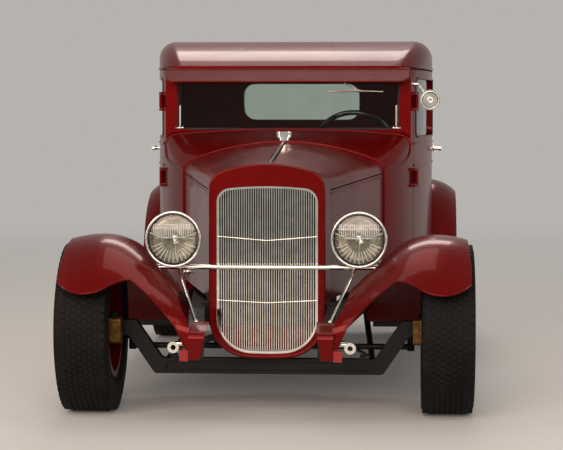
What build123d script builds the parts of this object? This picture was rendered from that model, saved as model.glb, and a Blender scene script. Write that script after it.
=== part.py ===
from build123d import *
import os
from math import asin, cos, radians, sin, sqrt

os.makedirs("parts", exist_ok=True)

# Overall layout, millimetres; stations are measured rearward from the front axle
WHEELBASE = 2629
FRONT_REACH = 452
COVER_T = 6
REAR_REACH = 566
FRONT_AXLE_Y = FRONT_REACH - (FRONT_REACH + WHEELBASE + REAR_REACH) / 2
CURVE_GAP = 0.3
PANEL_GAP = 6

# Tyres and wheels
FRONT_TYRE_R = 334
FRONT_TYRE_W = 206
FRONT_WHEEL_X = 709
REAR_TYRE_R = 360
REAR_TYRE_W = 236
REAR_WHEEL_X = 665
BEAD_R = 189
BARREL_WALL = 12
HUB_R = 42
CAP_R = 78
DISC_R = 138
DISC_T = 12
SPINDLE_R = 18
RUN_FIT = 0.05

# Front axle, knuckles and steering
KINGPIN_X = 622
KINGPIN_R = 11
BOSS_R = 26
BOSS_HALF = 34
EAR_T = 22
EAR_GAP = 2
AXLE_W = 44
BEAM_LOW = 150
BEAM_HIGH = 212
DROP_IN = 455
DROP_OUT = 560
STEER_ARM_X = 566
STEER_ARM_S = 140
TIE_ROD_Z = 244
TIE_ROD_R = 12

# Ladder frame
RAIL_W = 60
RAIL_LOW = 332
RAIL_HIGH = 428
RAIL_FRONT_X = 275
RAIL_BACK_X = 390
RAIL_SPLAY_S = 900
HORN_S = 150
HORN_LOW = 262
HORN_HIGH = 330
COVER_HIGH = 366
KICK_S = WHEELBASE - 439
KICK_RUN = 220
KICK_RISE = 150
RAIL_END = WHEELBASE + 440
CROSS_REACH = RAIL_BACK_X - RAIL_W / 2
SHELL_SEAT = RAIL_HIGH + 7
GEARBOX_TOP = RAIL_LOW + 42
GEARBOX_END = 1500

# Grille shell and insert
SHELL_FRONT = -95
SHELL_DEPTH = 120
SHELL_HALF = 222
SHELL_FLARE = 22
SHELL_PEAK = 984
SHELL_LOW = 228
GRILLE_HALF = 200
GRILLE_HIGH = 901
GRILLE_LOW = 240
BAR_COUNT = 43
BAR_W = 3.2
BAR_DEPTH = 9
BEAD_W = 8
CROSS_BAR_H = 5
CROSS_BARS = (dict(z=702, dip=16), dict(z=450, dip=10))

# Hood and cowl
HOOD_REAR = 925
HOOD_WALL = 6
HOOD_GAP = 5
HOOD_LOW = 446
HOOD_FRONT_HALF = 240
HOOD_REAR_HALF = 437
HOOD_FRONT_BREAK = 883
HOOD_REAR_BREAK = 922
HOOD_REAR_CROWN = 1054
HINGE_ROD_R = 5
KNUCKLE_R = 9
HINGE_HALF = 30
LUG_T = 12
COWL_WALL = 20
FIREWALL_T = 24

# Body, roof and windows
SCREEN_S = 1255
POST_T = 45
BODY_LOW = 400
WALL = 45
BODY_FRONT_HALF = 565
BODY_BULGE = 107
BODY_MAX_HALF = BODY_FRONT_HALF + BODY_BULGE
BODY_MAX_S = WHEELBASE - 519
BODY_TAIL_HALF = 470
TAIL_S = WHEELBASE + REAR_REACH - 16
HEADER_Z = 1402
ROOF_PEAK_Z = 1532
ROOF_PEAK_S = WHEELBASE - 779
SCREEN_SIDE_Z = 1085
SCREEN_CROWN_Z = 1117
ROOF_SPLIT_Z = 1392
WINDOW_HIGH = 1345
SCREEN_HALF = BODY_FRONT_HALF - 55
DOOR_FRONT = SCREEN_S + POST_T + PANEL_GAP
DOOR_REAR = BODY_MAX_S - 24
HEEL_S = WHEELBASE - 499
SEAT_HALF = BODY_FRONT_HALF - 45
DOOR_LOW = BODY_LOW + 8
EDGE_R = 80
GLASS_T = 5
GLASS_IN = 20

# Fenders
FENDER_WALL = 5
FENDER_OUT = 800
REAR_FENDER_OUT = FENDER_OUT + 1
REAR_FENDER_R = 478
BOARD_TOP = 288
BOARD_T = 24
MARKER_W = 34
MARKER_X = RAIL_FRONT_X - 2 + MARKER_W / 2
MARKER_DEPTH = 30
MARKER_S = -FRONT_REACH + COVER_T + MARKER_DEPTH / 2
MARKER_LOW = 253
MARKER_H = 42


def at(s):
    return FRONT_AXLE_Y + s


def cross(s):
    return Plane.XZ.offset(-at(s))


def save(piece, name):
    piece.part.label = name
    export_step(piece.part, f"parts/{name}.step")


def other_side(piece):
    with BuildPart() as twin:
        mirror(piece.part, about=Plane.YZ)
    return twin


def both_sides(piece):
    with BuildPart() as pair:
        add(piece.part)
        mirror(piece.part, about=Plane.YZ)
    return pair


# Rails of the ladder frame, with drooped front horns and a rear kick-up over the axle
with BuildPart() as rail:
    with BuildSketch(Plane.XY):
        with BuildLine():
            Polyline(
                (RAIL_FRONT_X - RAIL_W, at(-FRONT_REACH + COVER_T)),
                (RAIL_FRONT_X, at(-FRONT_REACH + COVER_T)),
                (RAIL_BACK_X, at(RAIL_SPLAY_S)),
                (RAIL_BACK_X, at(RAIL_END)),
                (RAIL_BACK_X - RAIL_W, at(RAIL_END)),
                (RAIL_BACK_X - RAIL_W, at(RAIL_SPLAY_S)),
                close=True,
            )
        make_face()
    extrude(amount=RAIL_HIGH + KICK_RISE + 50)
    with BuildSketch(Plane.YZ):
        with BuildLine():
            Polyline(
                (at(-FRONT_REACH - 10), HORN_LOW),
                (at(-HORN_S), RAIL_LOW),
                (at(KICK_S), RAIL_LOW),
                (at(KICK_S + KICK_RUN), RAIL_LOW + KICK_RISE),
                (at(RAIL_END), RAIL_LOW + KICK_RISE),
                (at(RAIL_END), RAIL_HIGH + KICK_RISE),
                (at(KICK_S + KICK_RUN - 40), RAIL_HIGH + KICK_RISE),
                (at(KICK_S - 40), RAIL_HIGH),
                (at(-HORN_S), RAIL_HIGH),
                (at(-FRONT_REACH - 10), HORN_HIGH),
                close=True,
            )
        make_face()
    extrude(amount=RAIL_BACK_X + 50, mode=Mode.INTERSECT)
rails = both_sides(rail)
save(rails, "frame_rails")

# Cross members between the rails: spring perches front and rear, gearbox mount in the middle
CROSS_ROWS = [
    dict(s=0, half=40, reach=RAIL_FRONT_X - 10, low=348, high=SHELL_SEAT),
    dict(s=1180, half=45, reach=CROSS_REACH, low=GEARBOX_TOP, high=RAIL_HIGH - 30),
    dict(s=WHEELBASE, half=50, reach=CROSS_REACH, low=RAIL_LOW + 200, high=RAIL_HIGH + KICK_RISE),
]
with BuildPart() as crossmembers:
    for row in CROSS_ROWS:
        with BuildSketch(Plane.XY.offset(row["low"])):
            with Locations((0, at(row["s"]))):
                Rectangle(2 * row["reach"], 2 * row["half"])
        extrude(amount=row["high"] - row["low"])
    add(rails.part, mode=Mode.SUBTRACT)

# Dropped front axle: a forged beam that rises to the kingpin bosses
with BuildPart() as front_axle:
    with BuildSketch(cross(AXLE_W / 2)):
        with BuildLine():
            FilletPolyline(
                (-KINGPIN_X, FRONT_TYRE_R - 30),
                (-DROP_OUT, FRONT_TYRE_R - 30),
                (-DROP_IN, BEAM_LOW),
                (DROP_IN, BEAM_LOW),
                (DROP_OUT, FRONT_TYRE_R - 30),
                (KINGPIN_X, FRONT_TYRE_R - 30),
                (KINGPIN_X, FRONT_TYRE_R + 30),
                (DROP_OUT - 30, FRONT_TYRE_R + 30),
                (DROP_IN - 30, BEAM_HIGH),
                (-DROP_IN + 30, BEAM_HIGH),
                (-DROP_OUT + 30, FRONT_TYRE_R + 30),
                (-KINGPIN_X, FRONT_TYRE_R + 30),
                radius=20,
                close=True,
            )
        make_face()
    extrude(amount=AXLE_W)
    for face in (-AXLE_W / 2, AXLE_W / 2 - 12):
        with BuildSketch(cross(face + 12)):
            with Locations((0, (BEAM_LOW + BEAM_HIGH) / 2)):
                RectangleRounded(2 * DROP_IN - 90, BEAM_HIGH - BEAM_LOW - 26, 10)
        extrude(amount=12, mode=Mode.SUBTRACT)
    for side in (-1, 1):
        with BuildSketch(Plane.XY.offset(FRONT_TYRE_R - BOSS_HALF)):
            with Locations((side * KINGPIN_X, at(0))):
                Circle(BOSS_R)
        extrude(amount=2 * BOSS_HALF)
        with BuildSketch(Plane.XY.offset(FRONT_TYRE_R - BOSS_HALF - EAR_GAP - EAR_T)):
            with Locations((side * KINGPIN_X, at(0))):
                Circle(KINGPIN_R)
        extrude(amount=2 * (BOSS_HALF + EAR_GAP + EAR_T))
save(front_axle, "front_axle")

# Steering knuckle, left: two ears on the kingpin, a plate, the spindle and the steering arm
PLATE_IN = KINGPIN_X + BOSS_R + 2
PLATE_T = 14
SPINDLE_END = FRONT_WHEEL_X + 46
with BuildPart() as knuckle_left:
    for base in (FRONT_TYRE_R + BOSS_HALF + EAR_GAP, FRONT_TYRE_R - BOSS_HALF - EAR_GAP - EAR_T):
        with BuildSketch(Plane.XY.offset(base)):
            with Locations((KINGPIN_X, at(0))):
                Circle(BOSS_R)
            with Locations(((KINGPIN_X + PLATE_IN + PLATE_T) / 2, at(0))):
                Rectangle(PLATE_IN + PLATE_T - KINGPIN_X, 44)
            with Locations((KINGPIN_X, at(0))):
                Circle(KINGPIN_R + RUN_FIT, mode=Mode.SUBTRACT)
        extrude(amount=EAR_T)
    with BuildSketch(Plane.YZ.offset(PLATE_IN)):
        with Locations((at(0), FRONT_TYRE_R)):
            Rectangle(60, 2 * (BOSS_HALF + EAR_GAP + EAR_T))
        with Locations((at(-70), FRONT_TYRE_R)):
            Rectangle(140, 60)
    extrude(amount=PLATE_T)
    with BuildSketch(Plane.YZ.offset(PLATE_IN)):
        with Locations((at(0), FRONT_TYRE_R)):
            Circle(SPINDLE_R)
    extrude(amount=SPINDLE_END - PLATE_IN)
    with BuildSketch(Plane.XY.offset(FRONT_TYRE_R - BOSS_HALF - EAR_GAP - EAR_T)):
        with BuildLine():
            Polyline(
                (KINGPIN_X + 20, at(12)),
                (STEER_ARM_X + 16, at(STEER_ARM_S + 14)),
                (STEER_ARM_X - 16, at(STEER_ARM_S + 14)),
                (STEER_ARM_X - 16, at(STEER_ARM_S - 14)),
                (KINGPIN_X - 4, at(24)),
                close=True,
            )
        make_face()
    extrude(amount=16)
save(knuckle_left, "knuckle_left")
knuckle_right = other_side(knuckle_left)
save(knuckle_right, "knuckle_right")

# Brake caliper, left: a block ahead of the axle that straddles the brake disc
DISC_IN = PLATE_IN + PLATE_T + 8
CALIPER_X = 574
with BuildPart() as caliper_left:
    with BuildSketch(Plane.YZ.offset(CALIPER_X)):
        with Locations((at(-116), FRONT_TYRE_R)):
            RectangleRounded(64, 104, 14)
    extrude(amount=DISC_IN + DISC_T + 30 - CALIPER_X)
    with BuildSketch(Plane.YZ.offset(DISC_IN - 6)):
        with Locations((at(0), FRONT_TYRE_R)):
            Circle(DISC_R + 6)
    extrude(amount=DISC_T + 12, mode=Mode.SUBTRACT)
    add(knuckle_left.part, mode=Mode.SUBTRACT)
save(caliper_left, "caliper_left")
caliper_right = other_side(caliper_left)
save(caliper_right, "caliper_right")

# Tie rod under the steering arms
ARM_LOW = FRONT_TYRE_R - BOSS_HALF - EAR_GAP - EAR_T
with BuildPart() as tie_rod:
    with BuildSketch(Plane.YZ.offset(-STEER_ARM_X)):
        with Locations((at(STEER_ARM_S), TIE_ROD_Z)):
            Circle(TIE_ROD_R)
    extrude(amount=2 * STEER_ARM_X)
    for side in (-1, 1):
        with BuildSketch(Plane.XY.offset(TIE_ROD_Z - 16)):
            with Locations((side * STEER_ARM_X, at(STEER_ARM_S))):
                Circle(15)
        extrude(amount=ARM_LOW - CURVE_GAP - TIE_ROD_Z + 16)
save(tie_rod, "tie_rod")


def wheel(centre_x, s, tyre_r, tyre_w, bore_r, disc_x):
    """Steel wheel with hub, brake disc and domed cap, turned about its own axle line."""
    half = tyre_w / 2 - 9
    outer = centre_x + 40
    with BuildPart() as body:
        with BuildSketch(Plane.XZ.offset(-at(s))):
            with Locations((centre_x, tyre_r + BEAD_R - BARREL_WALL / 2)):
                Rectangle(2 * half, BARREL_WALL)
            for edge in (-1, 1):
                with Locations((centre_x + edge * (half - 4), tyre_r + BEAD_R + 5)):
                    Rectangle(8, 14)
            with Locations((outer, tyre_r + (BEAD_R + HUB_R) / 2 - 6)):
                Rectangle(14, BEAD_R - HUB_R)
            with Locations(((disc_x + outer) / 2, tyre_r + (HUB_R + bore_r + RUN_FIT) / 2)):
                Rectangle(outer - disc_x + 14, HUB_R - bore_r - RUN_FIT)
            with Locations((disc_x + DISC_T / 2, tyre_r + (DISC_R + HUB_R) / 2 - 2)):
                Rectangle(DISC_T, DISC_R - HUB_R + 4)
        revolve(axis=Axis((0, at(s), tyre_r), (1, 0, 0)))
        with BuildSketch(Plane.XZ.offset(-at(s))):
            with BuildLine():
                base = Line((outer + 7, tyre_r), (outer + 7, tyre_r + CAP_R))
                dome = TangentArc((outer + 46, tyre_r), base @ 1, tangent=(0, 1))
                Line(dome @ 0, base @ 0)
            make_face()
        revolve(axis=Axis((0, at(s), tyre_r), (1, 0, 0)))
    return body


def tyre(centre_x, s, tyre_r, tyre_w):
    half = tyre_w / 2
    low = tyre_r + BEAD_R + CURVE_GAP
    with BuildPart() as body:
        with BuildSketch(Plane.XZ.offset(-at(s))):
            with BuildLine():
                Polyline(
                    (centre_x - half + 24, low),
                    (centre_x - half, low + 52),
                    (centre_x - half, 2 * tyre_r),
                    (centre_x + half, 2 * tyre_r),
                    (centre_x + half, low + 52),
                    (centre_x + half - 24, low),
                    close=True,
                )
            shape = make_face()
            fillet(shape.vertices().group_by(Axis.Y)[-1], 28)
        revolve(axis=Axis((0, at(s), tyre_r), (1, 0, 0)))
    return body


SHAFT_R = 22
REAR_IN = REAR_WHEEL_X - 60
WHEEL_ROWS = [
    dict(name="front", x=FRONT_WHEEL_X, s=0, r=FRONT_TYRE_R, w=FRONT_TYRE_W, bore=SPINDLE_R, disc=DISC_IN),
    dict(name="rear", x=REAR_WHEEL_X, s=WHEELBASE, r=REAR_TYRE_R, w=REAR_TYRE_W, bore=SHAFT_R, disc=REAR_IN),
]
for row in WHEEL_ROWS:
    rim = wheel(row["x"], row["s"], row["r"], row["w"], row["bore"], row["disc"])
    save(rim, f"wheel_{row['name']}_left")
    save(other_side(rim), f"wheel_{row['name']}_right")
    rubber = tyre(row["x"], row["s"], row["r"], row["w"])
    save(rubber, f"tyre_{row['name']}_left")
    save(other_side(rubber), f"tyre_{row['name']}_right")

# Rear axle: banjo housing, tubes, shafts in the wheel hubs and the torque tube
TUBE_R = 38
with BuildPart() as rear_axle:
    with BuildSketch(Plane.YZ.offset(-REAR_WHEEL_X + 78)):
        with Locations((at(WHEELBASE), REAR_TYRE_R)):
            Circle(TUBE_R)
    extrude(amount=2 * (REAR_WHEEL_X - 78))
    with BuildSketch(Plane.YZ.offset(-REAR_WHEEL_X - 40)):
        with Locations((at(WHEELBASE), REAR_TYRE_R)):
            Circle(SHAFT_R)
    extrude(amount=2 * (REAR_WHEEL_X + 40))
    with BuildSketch(Plane.YZ.offset(-90)):
        with Locations((at(WHEELBASE), REAR_TYRE_R)):
            Circle(104)
    extrude(amount=180)
    with BuildSketch(cross(GEARBOX_END)):
        with Locations((0, REAR_TYRE_R - 40)):
            Circle(34)
    extrude(amount=-(WHEELBASE - GEARBOX_END - 60))
save(rear_axle, "rear_axle")

# Transverse leaf springs, one stack over each axle, leaves bent about one centre
REAR_SEAT = REAR_TYRE_R + TUBE_R + CURVE_GAP
SPRING_ROWS = [
    dict(s=0, w=44, half=400, seat=BEAM_HIGH, crown=340, clamp=CROSS_ROWS[0]["low"]),
    dict(s=WHEELBASE, w=56, half=470, seat=REAR_SEAT, crown=524, clamp=CROSS_ROWS[2]["low"]),
]
LEAF_T = 8
LEAF_COUNT = 5
SPRING_FOOT = 14
with BuildPart() as springs:
    for row in SPRING_ROWS:
        rise = row["crown"] - row["seat"] - SPRING_FOOT
        bend = (row["half"] ** 2 + rise**2) / (2 * rise)
        lean = [asin(row["half"] * (1 - 0.15 * leaf) / bend) for leaf in range(LEAF_COUNT)]

        def spot(turn, leaf):
            reach = bend - LEAF_T * leaf
            return (reach * sin(turn), row["crown"] - bend + reach * cos(turn))

        with BuildSketch(cross(row["s"] + row["w"] / 2)):
            with BuildLine():
                ThreePointArc(spot(-lean[0], 0), spot(0, 0), spot(lean[0], 0))
                for side in (-1, 1):
                    for leaf in range(LEAF_COUNT):
                        Line(spot(side * lean[leaf], leaf), spot(side * lean[leaf], leaf + 1))
                        if leaf + 1 < LEAF_COUNT:
                            half_way = (lean[leaf] + lean[leaf + 1]) / 2
                            ThreePointArc(
                                spot(side * lean[leaf], leaf + 1),
                                spot(side * half_way, leaf + 1),
                                spot(side * lean[leaf + 1], leaf + 1),
                            )
                ThreePointArc(
                    spot(-lean[-1], LEAF_COUNT), spot(0, LEAF_COUNT), spot(lean[-1], LEAF_COUNT)
                )
            make_face()
            for x in (-row["half"] + 24, row["half"] - 24):
                with Locations((x, row["seat"] + SPRING_FOOT / 2)):
                    Rectangle(24, SPRING_FOOT)
            with Locations((0, (row["crown"] + row["clamp"]) / 2 - 3)):
                Rectangle(90, row["clamp"] - row["crown"] + 6)
        extrude(amount=row["w"])
save(springs, "leaf_springs")

# Radius rods from the front axle back to the frame
with BuildPart() as radius_rod:
    start = Vector(DROP_IN - 40, at(AXLE_W / 2), (BEAM_LOW + BEAM_HIGH) / 2 + 6)
    finish = Vector(RAIL_BACK_X - RAIL_W / 2, at(1120), RAIL_LOW - 16)
    with BuildSketch(Plane(start, z_dir=finish - start)):
        Circle(13)
    extrude(amount=(finish - start).length)
    with BuildSketch(Plane.XY.offset(RAIL_LOW)):
        with Locations((finish.X, finish.Y)):
            Rectangle(40, 60)
    extrude(amount=-30)
    add(front_axle.part, mode=Mode.SUBTRACT)
radius_rods = both_sides(radius_rod)
save(radius_rods, "radius_rods")

# Engine and gearbox: one plain block between the rails
with BuildPart() as engine:
    with BuildSketch(Plane.XY.offset(230)):
        with Locations((0, at(540))):
            Rectangle(480, 660)
    extrude(amount=570)
    with BuildSketch(Plane.XY.offset(240)):
        with Locations((0, at(1150))):
            Rectangle(250, 2 * (GEARBOX_END - 1150))
    extrude(amount=GEARBOX_TOP - 240)
    add(crossmembers.part, mode=Mode.SUBTRACT)
save(engine, "engine")

# Exhaust pipes along both sides of the engine with mufflers
PIPE_R = 24
EXHAUST_S = 560
EXHAUST_ROWS = (
    dict(s=EXHAUST_S, r=PIPE_R, run=WHEELBASE + 411 - EXHAUST_S),
    dict(s=EXHAUST_S + 1000, r=44, run=480),
)
with BuildPart() as exhaust_side:
    for row in EXHAUST_ROWS:
        with BuildSketch(cross(row["s"])):
            with Locations((240 + PIPE_R + CURVE_GAP, RAIL_LOW - 60)):
                Circle(row["r"])
        extrude(amount=-row["run"])
exhaust = both_sides(exhaust_side)
save(exhaust, "exhaust")


def outline(half, peak, low, top_r, low_r, top_sag, low_sag):
    """Front outline of the shell or of its opening, drawn on the ground plane."""
    with BuildSketch() as shape:
        with BuildLine():
            ThreePointArc((-half, peak - top_sag), (0, peak), (half, peak - top_sag))
            Line((half, peak - top_sag), (half, low + low_sag))
            ThreePointArc((half, low + low_sag), (0, low), (-half, low + low_sag))
            Line((-half, low + low_sag), (-half, peak - top_sag))
        make_face()
        fillet(shape.vertices().sort_by(Axis.Y)[-2:], top_r)
        fillet(shape.vertices().sort_by(Axis.Y)[:2], low_r)
    return shape.sketch


# Grille shell: a deep pressed frame round the radiator
shell_front = outline(SHELL_HALF, SHELL_PEAK, SHELL_LOW, 70, 150, 46, 20)
shell_back = outline(SHELL_HALF + SHELL_FLARE, SHELL_PEAK + 2, SHELL_LOW, 74, 150, 46, 20)
opening = outline(GRILLE_HALF, GRILLE_HIGH, GRILLE_LOW, 56, 140, 14, 18)
opening_in = outline(GRILLE_HALF - BEAD_W, GRILLE_HIGH - BEAD_W, GRILLE_LOW + BEAD_W, 50, 133, 14, 17)
insert_out = outline(GRILLE_HALF - 0.2, GRILLE_HIGH - 0.2, GRILLE_LOW + 0.2, 56, 140, 14, 18)
with BuildPart() as grille_shell:
    with BuildSketch(cross(SHELL_FRONT)):
        add(shell_front)
    with BuildSketch(cross(SHELL_FRONT + SHELL_DEPTH)):
        add(shell_back)
    loft()
    with BuildSketch(cross(SHELL_FRONT - 1)):
        add(opening)
    extrude(amount=-(SHELL_DEPTH + 2), mode=Mode.SUBTRACT)
    with BuildSketch(Plane.XY.offset(SHELL_LOW - 5)):
        with Locations((0, at(SHELL_FRONT + SHELL_DEPTH - 10))):
            Rectangle(600, 130)
    extrude(amount=SHELL_SEAT - SHELL_LOW + 5, mode=Mode.SUBTRACT)
save(grille_shell, "grille_shell")

# Grille insert: bright bead, upright bars and two horizontal bars
with BuildPart() as grille_insert:
    with BuildSketch(cross(SHELL_FRONT + 12 + BAR_DEPTH)):
        with Locations((0, (GRILLE_HIGH + GRILLE_LOW) / 2)):
            with GridLocations(2 * GRILLE_HALF / (BAR_COUNT + 1), 1, BAR_COUNT, 1):
                Rectangle(BAR_W, GRILLE_HIGH - GRILLE_LOW + 40)
        for row in CROSS_BARS:
            with BuildLine():
                Polyline(
                    (-GRILLE_HALF, row["z"] + CROSS_BAR_H),
                    (-GRILLE_HALF, row["z"]),
                    (0, row["z"] - row["dip"]),
                    (GRILLE_HALF, row["z"]),
                    (GRILLE_HALF, row["z"] + CROSS_BAR_H),
                    (0, row["z"] + CROSS_BAR_H - row["dip"]),
                    close=True,
                )
            make_face()
        add(opening_in, mode=Mode.INTERSECT)
        add(insert_out)
        add(opening_in, mode=Mode.SUBTRACT)
        with Locations((0, (GRILLE_HIGH + GRILLE_LOW) / 2)):
            with GridLocations(2 * GRILLE_HALF / (BAR_COUNT + 1), 1, BAR_COUNT, 1):
                Rectangle(BAR_W, GRILLE_HIGH - GRILLE_LOW + 40)
        add(insert_out, mode=Mode.INTERSECT)
    extrude(amount=BAR_DEPTH)
save(grille_insert, "grille_insert")

# Radiator block behind the insert
with BuildPart() as radiator:
    with BuildSketch(cross(SHELL_FRONT + 30)):
        with Locations((0, (RAIL_HIGH + GRILLE_HIGH) / 2 - 20)):
            Rectangle(2 * GRILLE_HALF - 24, GRILLE_HIGH - RAIL_HIGH - 60)
    extrude(amount=-60)
    with BuildSketch(Plane.XY.offset(SHELL_SEAT)):
        with Locations((0, at(-20))):
            Rectangle(200, 40)
    extrude(amount=20)
save(radiator, "radiator")


def nose(half, low, break_z, crown, corner_r):
    """Section of hood or cowl: upright sides, round shoulders and a crowned top."""
    with BuildSketch() as shape:
        with BuildLine():
            Polyline((-half, break_z), (-half, low), (half, low), (half, break_z))
            ThreePointArc((half, break_z), (0, crown), (-half, break_z))
        make_face()
        fillet(shape.vertices().sort_by(Axis.Y)[-2:], corner_r)
    return shape.sketch


# Hood skin, lofted from the shell to the cowl, then split into two tops and two sides
HOOD_FRONT = SHELL_FRONT + SHELL_DEPTH + HOOD_GAP
SHOULDER = 34
HOOD_SLOPE = (HOOD_REAR_CROWN - SHELL_PEAK) / (HOOD_REAR - HOOD_FRONT)
hood_rows = [
    dict(s=HOOD_FRONT, half=HOOD_FRONT_HALF, brk=HOOD_FRONT_BREAK + SHOULDER, crown=SHELL_PEAK),
    dict(s=HOOD_REAR, half=HOOD_REAR_HALF, brk=HOOD_REAR_BREAK + SHOULDER, crown=HOOD_REAR_CROWN),
]
hood_faces = []
for inset, low in ((0, HOOD_LOW), (HOOD_WALL, HOOD_LOW - 40)):
    hood_faces.append(
        [
            nose(row["half"] - inset, low, row["brk"] - inset, row["crown"] - inset, 46 - inset)
            for row in hood_rows
        ]
    )
with BuildPart() as hood_skin:
    for row, face in zip(hood_rows, hood_faces[0]):
        with BuildSketch(cross(row["s"])):
            add(face)
    loft()
    for row, face in zip(hood_rows, hood_faces[1]):
        with BuildSketch(cross(row["s"])):
            add(face)
    loft(mode=Mode.SUBTRACT)

with BuildPart() as hood_sides:
    add(hood_skin.part)
    with BuildSketch(Plane.YZ):
        with BuildLine():
            Polyline(
                (at(HOOD_FRONT - 50), HOOD_LOW - 60),
                (at(HOOD_REAR + 50), HOOD_LOW - 60),
                (at(HOOD_REAR), HOOD_REAR_BREAK - 5),
                (at(HOOD_FRONT), HOOD_FRONT_BREAK - 5),
                close=True,
            )
        make_face()
    extrude(amount=600, both=True, mode=Mode.INTERSECT)
    with BuildSketch(cross(HOOD_REAR)):
        for x in (-HOOD_REAR_HALF + HOOD_WALL / 2, HOOD_REAR_HALF - HOOD_WALL / 2):
            with Locations((x, 520), (x, 820)):
                Rectangle(HOOD_WALL, 60)
    extrude(amount=-HOOD_GAP)
save(hood_sides, "hood_sides")

# Hood tops hinge on a rod along the centre line
HINGE_Z = SHELL_PEAK - 3
hinge_start = Vector(0, at(HOOD_FRONT), HINGE_Z)
hinge_end = Vector(0, at(HOOD_REAR), HINGE_Z + HOOD_SLOPE * (HOOD_REAR - HOOD_FRONT))
hinge_dir = (hinge_end - hinge_start).normalized()
hinge_len = (hinge_end - hinge_start).length
KNUCKLE_ROWS = [
    dict(side=1, start=0.06), dict(side=-1, start=0.14), dict(side=1, start=0.82), dict(side=-1, start=0.90),
]
KNUCKLE_LEN = 60


def hood_top(side):
    with BuildPart() as panel:
        add(hood_skin.part)
        with BuildSketch(Plane.YZ.offset(side * 12)):
            with BuildLine():
                Polyline(
                    (at(HOOD_FRONT), HOOD_FRONT_BREAK),
                    (at(HOOD_REAR), HOOD_REAR_BREAK),
                    (at(HOOD_REAR), HOOD_REAR_CROWN + 100),
                    (at(HOOD_FRONT), HOOD_REAR_CROWN + 100),
                    close=True,
                )
            make_face()
        extrude(amount=side * 600, mode=Mode.INTERSECT)
        for row in KNUCKLE_ROWS:
            if row["side"] == side:
                spot = hinge_start + hinge_dir * (hinge_len * row["start"])
                with BuildSketch(Plane(spot, x_dir=(1, 0, 0), z_dir=hinge_dir)):
                    Circle(KNUCKLE_R)
                    with Locations((side * 10, 0)):
                        Rectangle(20, 6)
                extrude(amount=KNUCKLE_LEN)
        with BuildSketch(Plane(hinge_start - hinge_dir * 40, x_dir=(1, 0, 0), z_dir=hinge_dir)):
            Circle(HINGE_ROD_R + RUN_FIT)
        extrude(amount=hinge_len + 80, mode=Mode.SUBTRACT)
    return panel


save(hood_top(1), "hood_top_left")
save(hood_top(-1), "hood_top_right")

# Cowl with firewall, flaring from the hood to the windscreen posts
cowl_rows = [
    dict(s=HOOD_REAR + HOOD_GAP, half=HOOD_REAR_HALF, brk=HOOD_REAR_BREAK + SHOULDER, crown=HOOD_REAR_CROWN),
    dict(s=(HOOD_REAR + SCREEN_S) / 2, half=514, brk=1022, crown=1088),
    dict(s=SCREEN_S, half=BODY_FRONT_HALF, brk=SCREEN_SIDE_Z + 12, crown=SCREEN_CROWN_Z),
]
cowl_out = [nose(row["half"], BODY_LOW, row["brk"], row["crown"], 46) for row in cowl_rows]
cowl_in = [
    nose(row["half"] - COWL_WALL, BODY_LOW - 30, row["brk"] - COWL_WALL, row["crown"] - COWL_WALL, 26)
    for row in cowl_rows
]
with BuildPart() as cowl:
    for row, face in zip(cowl_rows, cowl_out):
        with BuildSketch(cross(row["s"])):
            add(face)
    loft()
    for row, face, shift in zip(cowl_rows, cowl_in, (FIREWALL_T, 0, 1)):
        with BuildSketch(cross(row["s"] + shift)):
            add(face)
    loft(mode=Mode.SUBTRACT)
    add(rails.part, mode=Mode.SUBTRACT)
save(cowl, "cowl")

# Rod of the hood hinge, held in the shell and in the cowl
with BuildPart() as hood_hinge:
    with BuildSketch(Plane(hinge_start - hinge_dir * 12, x_dir=(1, 0, 0), z_dir=hinge_dir)):
        Circle(HINGE_ROD_R)
    extrude(amount=hinge_len + 24)
    add(grille_shell.part, mode=Mode.SUBTRACT)
    add(cowl.part, mode=Mode.SUBTRACT)

# Fuel filler on the cowl
FILLER_S = 1000
FILLER_Z = HOOD_REAR_CROWN + 24
FILLER_NECK = 22
with BuildPart() as filler_cap:
    with BuildSketch(Plane.XY.offset(FILLER_Z - FILLER_NECK)):
        with Locations((0, at(FILLER_S))):
            Circle(26)
    extrude(amount=FILLER_NECK)
    with BuildSketch(Plane.XY.offset(FILLER_Z)):
        with Locations((0, at(FILLER_S))):
            Circle(37)
    extrude(amount=26)
    add(cowl.part, mode=Mode.SUBTRACT)
save(filler_cap, "filler_cap")

# Side outline and plan outline of the body, drawn flat; stations run along the first axis
ROOF_BACK = (WHEELBASE - 189, 1462)
BACK_FOOT = (WHEELBASE - 79, 1012)
DECK_MID = (WHEELBASE + 271, 908)
DECK_END = (WHEELBASE + 501, 610)
with BuildSketch() as side_shape:
    with BuildLine():
        Polyline((at(TAIL_S), BODY_LOW), (at(SCREEN_S), BODY_LOW), (at(SCREEN_S), HEADER_Z))
        TangentArc((at(ROOF_PEAK_S), ROOF_PEAK_Z), (at(SCREEN_S), HEADER_Z), tangent=(-1, 0))
        TangentArc((at(ROOF_PEAK_S), ROOF_PEAK_Z), (at(ROOF_BACK[0]), ROOF_BACK[1]), tangent=(1, 0))
        Line((at(ROOF_BACK[0]), ROOF_BACK[1]), (at(BACK_FOOT[0]), BACK_FOOT[1]))
        ThreePointArc(
            (at(BACK_FOOT[0]), BACK_FOOT[1]), (at(DECK_MID[0]), DECK_MID[1]), (at(DECK_END[0]), DECK_END[1])
        )
        Line((at(DECK_END[0]), DECK_END[1]), (at(TAIL_S), BODY_LOW))
    make_face()
    for spot, radius in ((ROOF_BACK, 140), (BACK_FOOT, 70), (DECK_END, 120)):
        corner = side_shape.vertices().sort_by_distance((at(spot[0]), spot[1]))[0]
        fillet(corner, radius)

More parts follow.
